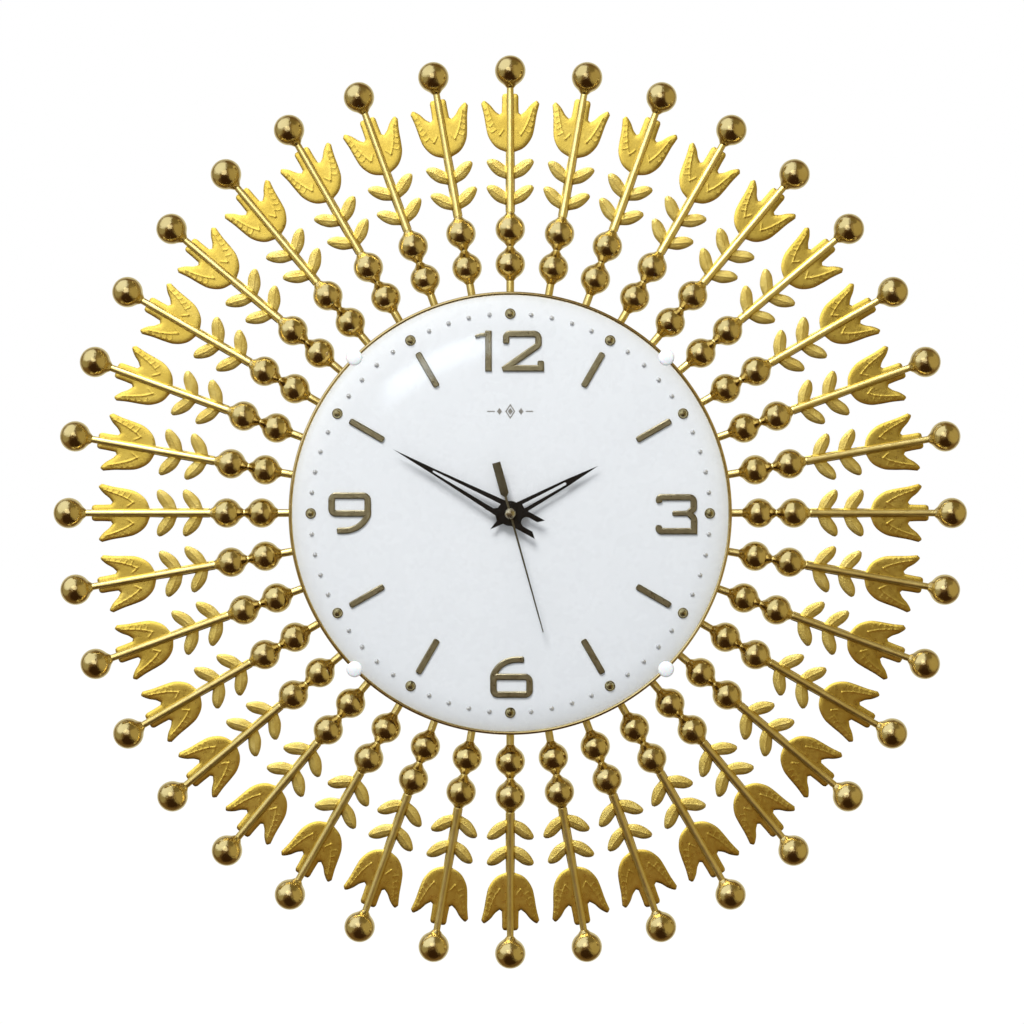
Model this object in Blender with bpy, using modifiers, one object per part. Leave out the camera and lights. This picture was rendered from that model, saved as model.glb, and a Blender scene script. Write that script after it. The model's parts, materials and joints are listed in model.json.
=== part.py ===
"""Sunburst wall clock: thirty-six gilt rays round a glazed quartz clock.

Every length below is in millimetres and becomes metres through MM. The clock is laid out in
face coordinates, which the empty "wall_plane" holds: x to the viewer's right, y up towards
12 o'clock and z out from the wall towards the viewer. The hand axis is x = y = 0. The empty
turns that frame upright, so the clock faces -Y, +Z is up, and the hand axis is the world's Y.
"""

import math

import bmesh
import bpy
from mathutils import Matrix, Vector

MM = 0.001
COLLECTION = "sunburst_wall_clock"
DEPTH = 38.0  # wall plane to the top of the glass dome

# Rays: a rod carrying three balls, with a stamped leaf plate brazed behind it.
RAY_COUNT = 36
RAY_SIDES = 6
ROD_HEIGHT = 14.2
ROD_RADIUS = 2.3
ROD_INNER_END = 124.0
BALLS = ((171.3, 10.2), (195.3, 10.2), (304.2, 10.5))  # distance from the centre, radius
PLATE_BACK, PLATE_FRONT = -3.0, -1.7  # from the rod's centreline
PLATE_FOOT = 206.0
STEM_HALF = 3.2
LEAFLET_STEP = 17.9

# Round case, dial and glass.
RING_SIDES = 36
CASE_RADIUS = 152.0
CASE_BACK = 17.0
CASE_LIP = 30.0
CASE_BORE = 150.6
CASE_SHEET = 1.2
CASE_FLANGE_INNER = 126.0
DIAL_RADIUS = 150.0
DIAL_BACK, DIAL_FRONT = 22.8, 24.0
MARKER_SUNK = 0.3  # how far a marker's foot goes into the dial
MARKER_TOP = 25.0
MARKER_WIDTH = 4.5
FLAG_WIDTH, MIDDLE_BAR_WIDTH = 2.8, 3.8
BAR_INNER, BAR_OUTER = 100.2, 127.2
BAR_HOURS = (1, 2, 4, 5, 7, 8, 10, 11)
GLASS_RADIUS = 149.8
GLASS_EDGE = 26.8
GLASS_THICKNESS = 2.0

# Frame hoop behind the rods, and the plate that hangs on a nail.
HOOP_RADIUS = 142.0
HOOP_WALL = 3.0
HOOP_FLANGE_INNER = 120.0
HOOP_FLANGE_BACK = 9.0
HOOP_FRONT = 11.6
HANGER_BACK, HANGER_FRONT = 2.0, 3.5
KEYHOLE_RADIUS, SLOT_RADIUS = 4.5, 2.3
KEYHOLE_Y, SLOT_TOP_Y = 121.0, 129.0

# Movement case, with the battery bay across its foot.
MOVEMENT_HALF = 28.0
MOVEMENT_BACK = 6.9
MOVEMENT_FRONT = 22.0
MOVEMENT_WALL = 1.5
COVER_BACK, COVER_FRONT = 5.2, 6.6
BAY_TOP = -11.4
BATTERY_RADIUS, BATTERY_LENGTH = 7.1, 50.0
BATTERY_Y, BATTERY_Z = -19.0, 13.4
BATTERY_CAP_RADIUS, BATTERY_CAP_LENGTH = 2.6, 1.2
CORNER = 4.0
HUB_TOP = 26.8
NUT_BACK, NUT_FRONT = 24.3, 26.2
NUT_FLAT = 6.6
THROUGH = (-5.0, 40.0)  # z range of a cutter that goes right through

# Coaxial stack on the hand axis: corner radius of each shaft, flat-to-axis radius of each bore.
SHAFT_SIDES = 12
SECONDS_SHAFT = 0.55
MINUTE_BORE, MINUTE_TUBE = 0.60, 1.35
HOUR_BORE, HOUR_TUBE = 1.42, 2.45
HUB_BORE, HUB_RADIUS = 2.52, 4.5
NUT_BORE = 4.6
PIN_RADIUS, PIN_BORE = 0.45, 0.50

# Gears: teeth, module, lower and upper z.
SECONDS_WHEEL = (36, 0.40, 8.0, 8.8)
SECONDS_PINION = (6, 0.40, 8.7, 11.0)
INTERMEDIATE_PINION = (6, 0.40, 7.4, 9.7)
INTERMEDIATE_WHEEL = (30, 0.30, 9.6, 10.3)
ROTOR_PINION = (6, 0.30, 9.2, 10.7)
THIRD_WHEEL = (45, 0.40, 9.6, 10.4)
TRAIN_DISTANCE = 25.5 * 0.40
THIRD_PINION = (6, TRAIN_DISTANCE / 27, 10.3, 13.4)
CENTRE_WHEEL = (48, TRAIN_DISTANCE / 27, 12.0, 12.9)
CANNON_PINION = (8, 0.66, 14.0, 16.4)
MINUTE_WHEEL = (24, 0.66, 14.8, 15.6)
MOTION_DISTANCE = 16 * 0.66
MINUTE_PINION = (6, MOTION_DISTANCE / 15, 15.5, 18.6)
HOUR_WHEEL = (24, MOTION_DISTANCE / 15, 16.9, 17.8)

# Directions from the hand axis to each arbor, in degrees anticlockwise from 3 o'clock.
INTERMEDIATE_DIRECTION = 180.0
ROTOR_DIRECTION = 180.0
THIRD_DIRECTION = 0.0
MINUTE_WHEEL_DIRECTION = 75.0

# Hands: z range of each, the round boss of the two wide ones, and the cap of the narrow one.
HOUR_HAND_LEVEL = (27.6, 28.1)
MINUTE_HAND_LEVEL = (29.2, 29.7)
SECOND_HAND_LEVEL = (30.7, 31.2)
HAND_BOSS = 8.6
SECOND_CAP = ((0.0, 33.0), (2.2, 32.7), (3.6, 31.8), (3.9, 30.9), (3.6, 30.4), (0.0, 30.4))

# Hands at rest, in degrees clockwise from 12 o'clock.
HOUR_ANGLE = 61.6
MINUTE_ANGLE = 298.7
SECOND_ANGLE = 164.5


# ---------------------------------------------------------------- general helpers


def clear_scene():
    for obj in list(bpy.data.objects):
        bpy.data.objects.remove(obj, do_unlink=True)


def new_collection(name):
    collection = bpy.data.collections.new(name)
    bpy.context.scene.collection.children.link(collection)
    return collection


def material(name, rgb, metallic, roughness, alpha=1.0):
    made = bpy.data.materials.new(name)
    made.use_nodes = True
    made.diffuse_color = (*rgb, alpha)
    shader = made.node_tree.nodes["Principled BSDF"]
    shader.inputs["Base Color"].default_value = (*rgb, 1.0)
    shader.inputs["Metallic"].default_value = metallic
    shader.inputs["Roughness"].default_value = roughness
    shader.inputs["Alpha"].default_value = alpha
    return made


def away(distance, direction, start=(0.0, 0.0)):
    """The point at this distance from start, in degrees anticlockwise from +x."""
    angle = math.radians(direction)
    return start[0] + distance * math.cos(angle), start[1] + distance * math.sin(angle)


def arc(radius, start, end, steps, centre=(0.0, 0.0)):
    """Points on a circle, from angle start to end in degrees anticlockwise from +x."""
    return [away(radius, start + (end - start) * i / steps, centre) for i in range(steps + 1)]


def regular(sides, flat_radius, centre=(0.0, 0.0), turn=0.0):
    """Corners of a regular polygon whose sides lie flat_radius from its centre."""
    corner = flat_radius / math.cos(math.pi / sides)
    return arc(corner, turn, turn + 360.0 * (sides - 1) / sides, sides - 1, centre)


def as_mesh(name, obj):
    """The object's evaluated shape as a closed mesh in metres, with its faces out. The object goes."""
    graph = bpy.context.evaluated_depsgraph_get()
    mesh = bpy.data.meshes.new_from_object(obj.evaluated_get(graph))
    bpy.data.objects.remove(obj)
    mesh.name = name
    shape = bmesh.new()
    shape.from_mesh(mesh)
    bmesh.ops.remove_doubles(shape, verts=shape.verts, dist=1e-6)
    bmesh.ops.recalc_face_normals(shape, faces=shape.faces)
    shape.to_mesh(mesh)
    shape.free()
    return mesh


def flat_mesh(name, outlines, low, high):
    """Plate between two heights. The first outline is its edge, and the others are its holes."""
    curve = bpy.data.curves.new(name, "CURVE")
    curve.dimensions = "2D"
    curve.fill_mode = "BOTH"
    curve.extrude = (high - low) / 2 * MM
    for outline in outlines:
        spline = curve.splines.new("POLY")
        spline.points.add(len(outline) - 1)
        for point, (x, y) in zip(spline.points, outline):
            point.co = (x * MM, y * MM, 0.0, 1.0)
        spline.use_cyclic_u = True
    obj = bpy.data.objects.new(name, curve)
    bpy.context.scene.collection.objects.link(obj)
    mesh = as_mesh(name, obj)
    mesh.transform(Matrix.Translation((0, 0, (high + low) / 2 * MM)))
    return mesh


def turned_mesh(name, profile, sides, closed=False):
    """Turns a profile of (radius, z) points about z. It runs from the top down its outer side."""
    mesh = bpy.data.meshes.new(name)
    points = [(radius * MM, 0.0, z * MM) for radius, z in profile]
    edges = [(i, i + 1) for i in range(len(points) - 1)]
    if closed:
        edges.append((len(points) - 1, 0))
    mesh.from_pydata(points, edges, [])
    obj = bpy.data.objects.new(name, mesh)
    bpy.context.scene.collection.objects.link(obj)
    screw = obj.modifiers.new("turn", "SCREW")
    screw.steps = sides
    screw.render_steps = sides
    screw.use_merge_vertices = True
    screw.merge_threshold = 1e-6
    return as_mesh(name, obj)


def rod_mesh(name, radius, low, high, sides=SHAFT_SIDES, centre=(0.0, 0.0)):
    return flat_mesh(name, [arc(radius, 0, 360 - 360 / sides, sides - 1, centre)], low, high)


def block_mesh(name, x, y, z, corner=0.0):
    """Box from its three (low, high) pairs, with its four upright edges rounded."""
    mesh = bpy.data.meshes.new(name)
    shape = bmesh.new()
    bmesh.ops.create_cube(shape, size=1.0)
    size = Vector((x[1] - x[0], y[1] - y[0], z[1] - z[0])) * MM
    centre = Vector((x[0] + x[1], y[0] + y[1], z[0] + z[1])) * MM / 2
    bmesh.ops.scale(shape, vec=size, verts=shape.verts)
    bmesh.ops.translate(shape, vec=centre, verts=shape.verts)
    if corner:
        upright = [e for e in shape.edges if abs(e.verts[0].co.z - e.verts[1].co.z) > size.z / 2]
        bmesh.ops.bevel(shape, geom=upright, offset=corner * MM, segments=3, profile=0.5, affect="EDGES")
    shape.to_mesh(mesh)
    shape.free()
    return mesh


class Bench:
    """Holds the collections and the empty that every piece is parented to."""

    def __init__(self):
        self.parts = new_collection(COLLECTION)
        self.cutters = new_collection(COLLECTION + "_cutters")
        self.wall_plane = bpy.data.objects.new("wall_plane", None)
        self.wall_plane.location = (0.0, DEPTH / 2 * MM, 0.0)
        self.wall_plane.rotation_euler = (math.pi / 2, 0.0, 0.0)
        self.parts.objects.link(self.wall_plane)

    def place(self, name, mesh, finish, at=(0.0, 0.0), turn=0.0):
        """Puts a part on the bench, its origin at `at`, turned clockwise by `turn` degrees."""
        mesh.materials.clear()
        mesh.materials.append(finish)
        obj = bpy.data.objects.new(name, mesh)
        obj.parent = self.wall_plane
        obj.location = (at[0] * MM, at[1] * MM, 0.0)
        obj.rotation_euler = (0.0, 0.0, -math.radians(turn))
        self.parts.objects.link(obj)
        return obj

    def combine(self, obj, operation, *meshes):
        """Joins meshes to the part, or cuts them from it. They are in the part's own frame."""
        for mesh in meshes:
            tool = bpy.data.objects.new(mesh.name, mesh)
            tool.parent = obj
            tool.hide_render = True
            tool.display_type = "WIRE"
            self.cutters.objects.link(tool)
            modifier = obj.modifiers.new(mesh.name, "BOOLEAN")
            modifier.operation = operation
            modifier.object = tool
        return obj


def smooth(mesh, degrees=40.0):
    mesh.shade_smooth()
    mesh.set_sharp_from_angle(angle=math.radians(degrees))


# ---------------------------------------------------------------- gears


def pitch_radius(gear):
    return gear[0] * gear[1] / 2


def gear_outline(gear, toward):
    """Trapezoidal teeth with running clearance. One tooth is centred on the direction `toward`."""
    teeth, module = gear[0], gear[1]
    pitch = pitch_radius(gear)
    tip, root = pitch + 0.62 * module, pitch - 0.86 * module
    step = 2 * math.pi / teeth
    half_root, half_tip = 0.27 * step, 0.10 * step
    outline = []
    for tooth in range(teeth):
        middle = math.radians(toward) + tooth * step
        for radius, angle in ((root, -half_root), (tip, -half_tip), (tip, half_tip), (root, half_root)):
            outline.append((radius * math.cos(middle + angle), radius * math.sin(middle + angle)))
    return outline


def gear_mesh(name, gear, toward, driven=False, bore=None):
    """A gear whose mate lies in direction `toward`. A driven gear shows its mate a gap there."""
    half_tooth = 180.0 / gear[0] if driven else 0.0
    outlines = [gear_outline(gear, toward + half_tooth)]
    if bore:
        outlines.append(regular(SHAFT_SIDES, bore))
    return flat_mesh(name, outlines, gear[2], gear[3])


INTERMEDIATE_AT = away(21 * SECONDS_WHEEL[1], INTERMEDIATE_DIRECTION)
ROTOR_AT = away(18 * ROTOR_PINION[1], ROTOR_DIRECTION, INTERMEDIATE_AT)
THIRD_AT = away(TRAIN_DISTANCE, THIRD_DIRECTION)
MINUTE_WHEEL_AT = away(MOTION_DISTANCE, MINUTE_WHEEL_DIRECTION)


# ---------------------------------------------------------------- rays


def ray_profile():
    """(distance along the rod, radius) from its outer end to its inner end."""
    profile = []
    for centre, radius in reversed(BALLS):
        waist = math.sqrt(radius**2 - ROD_RADIUS**2)
        band = radius * math.sqrt(0.5)
        profile += [
            (waist + centre, ROD_RADIUS),
            (centre + band, band),
            (centre, radius),
            (centre - band, band),
            (centre - waist, ROD_RADIUS),
        ]
    outer_ball = BALLS[-1]
    profile[0] = (outer_ball[0] + outer_ball[1], 0.0)
    return profile + [(ROD_INNER_END, ROD_RADIUS), (ROD_INNER_END, 0.0)]


def sprig_half():
    """Right edge of the leaf plate from its foot up to its top, as (x, distance from the centre)."""
    lower = [(STEM_HALF, 212.0), (13.8, 219.2), (16.1, 224.2), (9.5, 225.0), (STEM_HALF, 221.1)]
    upper = [(x, y + LEAFLET_STEP) for x, y in lower]
    flower = [
        (STEM_HALF, 248.5),
        (10.2, 251.9),
        (15.4, 259.3),
        (20.0, 281.5),
        (18.8, 283.9),
        (7.2, 274.1),
        (5.8, 288.0),
    ]
    return [(STEM_HALF, PLATE_FOOT)] + lower + upper + flower


def ray_mesh():
    """One ray pointing at 12 o'clock, with its rod's centreline at z = 0."""
    profile = [(radius, along) for along, radius in ray_profile()]
    rod = turned_mesh("ray_rod", profile, RAY_SIDES)
    rod.transform(Matrix.Rotation(-math.pi / 2, 4, "X"))
    half = sprig_half()
    outline = half + [(-x, y) for x, y in reversed(half)]
    plate = flat_mesh("ray_plate", [outline], PLATE_BACK, PLATE_FRONT)
    base = bpy.data.objects.new("ray_rod", rod)
    tool = bpy.data.objects.new("ray_plate", plate)
    for obj in (base, tool):
        bpy.context.scene.collection.objects.link(obj)
    union = base.modifiers.new("braze", "BOOLEAN")
    union.operation = "UNION"
    union.object = tool
    mesh = as_mesh("ray", base)
    bpy.data.objects.remove(tool)
    mesh.transform(Matrix.Translation((0, 0, ROD_HEIGHT * MM)))
    smooth(mesh, 50.0)
    return mesh


def make_rays(bench, finish):
    mesh = ray_mesh()
    for index in range(RAY_COUNT):
        bench.place(f"ray_{index + 1:02d}", mesh, finish, turn=index * 360.0 / RAY_COUNT)


# ---------------------------------------------------------------- frame and case


def make_frame_ring(bench, finish):
    """Rolled angle-section hoop: its rim rests on the wall and its flange carries the rods."""
    profile = [
        (HOOP_RADIUS, HOOP_FRONT),
        (HOOP_RADIUS, 0.0),
        (HOOP_RADIUS - HOOP_WALL, 0.0),
        (HOOP_RADIUS - HOOP_WALL, HOOP_FLANGE_BACK),
        (HOOP_FLANGE_INNER, HOOP_FLANGE_BACK),
        (HOOP_FLANGE_INNER, HOOP_FRONT),
    ]
    bench.place("frame_ring", turned_mesh("frame_ring", profile, RING_SIDES, closed=True), finish)


def make_hanger(bench, finish):
    """Keyhole plate at the top of the hoop. The nail's shank ends up in the narrow slot."""
    start = math.degrees(math.asin(SLOT_RADIUS / KEYHOLE_RADIUS))
    keyhole = arc(KEYHOLE_RADIUS, 90 - start, -270 + start, 10, (0, KEYHOLE_Y))
    keyhole += arc(SLOT_RADIUS, 180, 0, 4, (0, SLOT_TOP_Y))
    edge = [(-17, 114.5), (17, 114.5), (17, 134.0), (14, 137.4), (-14, 137.4), (-17, 134.0)]
    mesh = flat_mesh("hanger", [edge, keyhole], HANGER_BACK, HANGER_FRONT)
    bench.place("hanger", mesh, finish)


def make_bezel_ring(bench, finish):
    """Spun case: a back flange on the rods, a side wall and a rolled lip that holds the glass."""
    glass_front = GLASS_EDGE + GLASS_THICKNESS
    profile = [
        (CASE_BORE, CASE_LIP),
        (CASE_RADIUS - 0.4, CASE_LIP - 0.7),
        (CASE_RADIUS, CASE_LIP - 2.0),
        (CASE_RADIUS, CASE_BACK),
        (CASE_FLANGE_INNER, CASE_BACK),
        (CASE_FLANGE_INNER, CASE_BACK + CASE_SHEET),
        (CASE_BORE, CASE_BACK + CASE_SHEET),
        (CASE_BORE, glass_front - 0.2),
        (CASE_BORE - 1.3, glass_front + 0.3),
        (CASE_BORE - 1.1, CASE_LIP - 0.4),
    ]
    mesh = turned_mesh("bezel_ring", profile, RING_SIDES, closed=True)
    smooth(mesh, 30.0)
    bench.place("bezel_ring", mesh, finish)


def dome_profile(edge_radius, edge_z, top_z, steps):
    """Flattened dome: a superellipse that rises fast near its edge, from its top down."""
    points = []
    for i in range(steps + 1):
        angle = math.pi / 2 * i / steps
        radius = edge_radius * math.sin(angle) ** 0.9
        points.append((radius, edge_z + (top_z - edge_z) * max(math.cos(angle), 0.0) ** 0.9))
    return points


def make_glass_lens(bench, finish):
    outer = dome_profile(GLASS_RADIUS - 1.0, GLASS_EDGE + GLASS_THICKNESS, DEPTH, 3)
    inner = dome_profile(GLASS_RADIUS - 3.0, GLASS_EDGE, DEPTH - GLASS_THICKNESS, 3)
    profile = outer + [(GLASS_RADIUS, GLASS_EDGE)] + list(reversed(inner))
    mesh = turned_mesh("glass_lens", profile, RING_SIDES)
    smooth(mesh, 30.0)
    bench.place("glass_lens", mesh, finish)


# ---------------------------------------------------------------- dial


def stroke(points, width=MARKER_WIDTH, closed=False):
    """Outline of a band of this width along a line of points, mitred at its corners."""
    count = len(points)
    sides = ([], [])
    for i, (x, y) in enumerate(points):
        before = points[i - 1] if closed or i else None
        after = points[(i + 1) % count] if closed or i < count - 1 else None
        steps = []
        if before:
            steps.append(Vector((x - before[0], y - before[1])).normalized())
        if after:
            steps.append(Vector((after[0] - x, after[1] - y)).normalized())
        along = sum(steps, Vector((0.0, 0.0))).normalized()
        normal = Vector((-along.y, along.x))
        reach = width / 2 / max(normal.dot(Vector((-steps[0].y, steps[0].x))), 0.5)
        sides[0].append((x + normal.x * reach, y + normal.y * reach))
        sides[1].append((x - normal.x * reach, y - normal.y * reach))
    if closed:
        return sides[0], sides[1]
    return sides[0] + sides[1][::-1]


def numeral_strokes():
    """Centre lines of the four numerals, in face coordinates."""
    one = [(-15.0, 97.3), (-15.0, 125.4)]
    flag = [(-17.0, 122.3), (-24.0, 121.6)]
    two = [
        (-2.9, 116.3),
        (-2.9, 121.3),
        (-0.6, 123.1),
        (17.2, 123.1),
        (19.3, 121.2),
        (19.3, 115.4),
        (-3.4, 99.5),
        (20.9, 99.5),
        (20.9, 104.8),
    ]
    three = [
        (102.4, 7.2),
        (101.9, 9.6),
        (103.7, 11.0),
        (124.2, 11.0),
        (125.9, 9.4),
        (125.9, 3.2),
        (122.6, 0.1),
        (126.1, -3.6),
        (126.1, -12.3),
        (103.4, -12.3),
        (101.9, -10.8),
        (102.0, -8.2),
    ]
    bar = [(112.0, -0.2), (121.6, -0.1)]
    left_half = [(-9.8, 12.6), (-12.4, 10.0), (-12.4, 2.8), (-9.8, 0.4)]
    loop = left_half + [(-x, y) for x, y in reversed(left_half)]
    tail = [(-12.4, 3.0), (-12.2, -2.0), (-7.0, -8.4), (0.0, -11.4), (8.4, -11.9)]
    return one, flag, two, three, bar, loop, tail


def shifted(points, centre, turn=1.0):
    return [(centre[0] + turn * x, centre[1] + turn * y) for x, y in points]


def marker_meshes():
    """Raised numerals and bars. The 6 has its loop below and its tail above, and the 9 is its half turn."""
    one, flag, two, three, bar, loop, tail = numeral_strokes()
    low, high = DIAL_FRONT - MARKER_SUNK, MARKER_TOP
    lower = high - 0.1
    six_loop = [(x, y - 12.8) for x, y in loop]
    six_tail = [(x, -y - 0.2) for x, y in tail]
    meshes = [
        flat_mesh("digit_1", [stroke(one)], low, high),
        flat_mesh("digit_1_flag", [stroke(flag, FLAG_WIDTH)], low, lower),
        flat_mesh("digit_2", [stroke(two)], low, high),
        flat_mesh("digit_3", [stroke(three)], low, high),
        flat_mesh("digit_3_bar", [stroke(bar, MIDDLE_BAR_WIDTH)], low, lower),
    ]
    for name, centre, turn in (("digit_6", (0.8, -112.2), 1.0), ("digit_9", (-110.3, -0.3), -1.0)):
        ring = stroke(shifted(six_loop, centre, turn), closed=True)
        curl = stroke(shifted(six_tail, centre, turn))
        meshes.append(flat_mesh(name, ring, low, high))
        meshes.append(flat_mesh(name + "_tail", [curl], low, lower))
    half = MARKER_WIDTH / 2
    ends = arc(half, 0, 180, 3, (0, BAR_OUTER - half)) + arc(half, 180, 360, 3, (0, BAR_INNER + half))
    for hour in BAR_HOURS:
        mesh = flat_mesh(f"bar_{hour}", [ends], low, high)
        mesh.transform(Matrix.Rotation(-math.radians(30 * hour), 4, "Z"))
        meshes.append(mesh)
    return meshes


def make_dial_plate(bench, finish):
    edge = arc(DIAL_RADIUS, 0, 360 - 360 / RING_SIDES, RING_SIDES - 1)
    hub_hole = regular(SHAFT_SIDES, HUB_RADIUS + 0.3)
    mesh = flat_mesh("dial_plate", [edge, hub_hole], DIAL_BACK, DIAL_FRONT)
    dial = bench.place("dial_plate", mesh, finish)
    bench.combine(dial, "UNION", *marker_meshes())


# ---------------------------------------------------------------- hands


def fork(inner, outer, notch, reach_inner, reach_outer, hub):
    """Swallow tail below the hub: two prongs with slanted ends beside a round notch."""
    right = [(outer, -math.sqrt(hub**2 - outer**2)), (outer, -reach_outer), (inner, -reach_inner)]
    bottom = arc(inner, 0, 180, 4, (0.0, -notch - inner))
    left = [(-x, y) for x, y in reversed(right)]
    return right + bottom + left


def make_minute_hand(bench, finish):
    hub = HAND_BOSS
    blade = [(6.3, 5.8), (1.95, 60.6), (0.0, 91.9), (-1.95, 60.6), (-6.3, 5.8)]
    side = [(-hub, 0.0)]
    tail = [(x, y) for x, y in reversed(fork(3.6, 7.2, 9.0, 19.2, 23.2, hub))]
    outline = blade + side + tail + [(hub, 0.0)]
    slot = [(2.5, 8.9), (0.6, 60.0), (0.0, 60.6), (-0.6, 60.0), (-2.5, 8.9), (0.0, 9.3)]
    holes = [slot, regular(SHAFT_SIDES, MINUTE_TUBE + 0.05)]
    mesh = flat_mesh("minute_hand", [outline] + holes, *MINUTE_HAND_LEVEL)
    bench.place("minute_hand", mesh, finish, turn=MINUTE_ANGLE)


def make_hour_hand(bench, finish):
    """Its short swallow tail sits askew: the fork's own axis leans clockwise of the blade's."""
    hub = HAND_BOSS
    blade = [(4.6, 7.3), (2.4, 44.0), (0.0, 68.9), (-2.4, 44.0), (-4.6, 7.3), (-hub, 0.0)]
    lean = Matrix.Rotation(math.radians(-14.0), 2)
    half_tail = [(5.6, -6.3), (7.2, -16.2), (2.6, -10.2)]
    tail = half_tail + [(-x, y) for x, y in reversed(half_tail)]
    leaning = [tuple(lean @ Vector(point)) for point in reversed(tail)]
    outline = blade + leaning + [(hub, 0.0)]
    slot = [(1.6, 10.2), (0.9, 43.0), (0.0, 43.8), (-0.9, 43.0), (-1.6, 10.2)]
    holes = [slot, regular(SHAFT_SIDES, HOUR_TUBE + 0.05)]
    mesh = flat_mesh("hour_hand", [outline] + holes, *HOUR_HAND_LEVEL)
    bench.place("hour_hand", mesh, finish, turn=HOUR_ANGLE)


def make_second_hand(bench, finish):
    """Needle and paddle in one stamping, with a domed cap pressed on its boss."""
    right = [(2.9, -36.2), (2.9, -14.0), (1.0, -11.8), (0.9, 3.0), (0.45, 84.5)]
    outline = right + [(-x, y) for x, y in reversed(right)]
    mesh = flat_mesh("second_hand", [outline], *SECOND_HAND_LEVEL)
    hand = bench.place("second_hand", mesh, finish, turn=SECOND_ANGLE)
    cap = turned_mesh("second_cap", SECOND_CAP, SHAFT_SIDES)
    bore = regular(SHAFT_SIDES, SECONDS_SHAFT + 0.05)
    socket = flat_mesh("second_socket", [bore], SECOND_CAP[-1][1] - 0.4, 31.8)
    bench.combine(hand, "UNION", cap)
    bench.combine(hand, "DIFFERENCE", socket)


# ---------------------------------------------------------------- movement


def make_movement_case(bench, finish):
    """Open-backed box with a partition over the battery bay and a threaded hub through the dial."""
    half, wall = MOVEMENT_HALF, MOVEMENT_WALL
    inside = half - wall
    floor = MOVEMENT_FRONT - 1.2
    depth = (MOVEMENT_BACK, MOVEMENT_FRONT)
    body = block_mesh("movement_case", (-half, half), (-half, half), depth, CORNER)
    case = bench.place("movement_case", body, finish)
    gear_room = block_mesh("gear_room", (-inside, inside), (BAY_TOP + 1.0, inside), (0.0, floor))
    battery_bay = block_mesh("battery_bay", (-inside, inside), (-inside, BAY_TOP), (0.0, floor))
    bench.combine(case, "DIFFERENCE", gear_room, battery_bay)
    foot = floor + 0.3
    hub = rod_mesh("hub", HUB_RADIUS, foot, HUB_TOP)
    rotor_boss = rod_mesh("rotor_boss", 1.5, 18.4, foot, centre=ROTOR_AT)
    arbor_boss = rod_mesh("arbor_boss", 1.8, 19.3, foot, centre=MINUTE_WHEEL_AT)
    bench.combine(case, "UNION", hub, rotor_boss, arbor_boss)
    hub_bore = flat_mesh("hub_bore", [regular(SHAFT_SIDES, HUB_BORE)], *THROUGH)
    rotor_bore = flat_mesh("rotor_bore", [regular(SHAFT_SIDES, 0.56, ROTOR_AT)], 17.0, 20.0)
    arbor_bore = flat_mesh("arbor_bore", [regular(SHAFT_SIDES, 0.86, MINUTE_WHEEL_AT)], 18.0, 20.5)
    bench.combine(case, "DIFFERENCE", hub_bore, rotor_bore, arbor_bore)


def make_movement_cover(bench, finish):
    """Back cover with a battery window, the knob's hole and the pins that carry two wheels."""
    half = MOVEMENT_HALF
    depth = (COVER_BACK, COVER_FRONT)
    body = block_mesh("movement_cover", (-half, half), (-half, half), depth, CORNER)
    cover = bench.place("movement_cover", body, finish)
    window_half = BATTERY_LENGTH / 2 + 1.2
    window = block_mesh("battery_window", (-window_half, window_half), (1.0 - half, BAY_TOP), THROUGH)
    knob_hole = flat_mesh("knob_hole", [regular(SHAFT_SIDES, 1.0, MINUTE_WHEEL_AT)], *THROUGH)
    bench.combine(cover, "DIFFERENCE", window, knob_hole)
    inner = COVER_FRONT - 0.3
    third_pin = rod_mesh("third_pin", PIN_RADIUS, inner, 13.8, 8, THIRD_AT)
    intermediate_pin = rod_mesh("intermediate_pin", PIN_RADIUS, inner, 10.9, 8, INTERMEDIATE_AT)
    centre_boss = rod_mesh("centre_boss", 1.6, inner, 7.5)
    rotor_foot = rod_mesh("rotor_foot", 1.6, inner, 7.5, centre=ROTOR_AT)
    bench.combine(cover, "UNION", third_pin, intermediate_pin, centre_boss, rotor_foot)
    centre_hole = flat_mesh("centre_hole", [regular(SHAFT_SIDES, 0.60)], 6.2, 9.0)
    rotor_hole = flat_mesh("rotor_hole", [regular(SHAFT_SIDES, 0.56, ROTOR_AT)], 6.2, 9.0)
    bench.combine(cover, "DIFFERENCE", centre_hole, rotor_hole)


def make_fixing_nut(bench, finish):
    """Hexagon nut that clamps the movement to the dial."""
    outlines = [regular(6, NUT_FLAT), regular(SHAFT_SIDES, NUT_BORE)]
    mesh = flat_mesh("fixing_nut", outlines, NUT_BACK, NUT_FRONT)
    bench.place("fixing_nut", mesh, finish)


def make_battery(bench, finish):
    """AA cell lying across the foot of the case, its cap to the right."""
    end = BATTERY_LENGTH / 2
    shoulder = end - BATTERY_CAP_LENGTH
    profile = [(0, end), (BATTERY_CAP_RADIUS, end), (BATTERY_CAP_RADIUS, shoulder)]
    profile += [(BATTERY_RADIUS, shoulder), (BATTERY_RADIUS, -end), (0, -end)]
    mesh = turned_mesh("battery", profile, 16)
    mesh.transform(Matrix.Rotation(math.pi / 2, 4, "Y"))
    mesh.transform(Matrix.Translation((0, 0, BATTERY_Z * MM)))
    smooth(mesh)
    bench.place("battery", mesh, finish, at=(0.0, BATTERY_Y))


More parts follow.
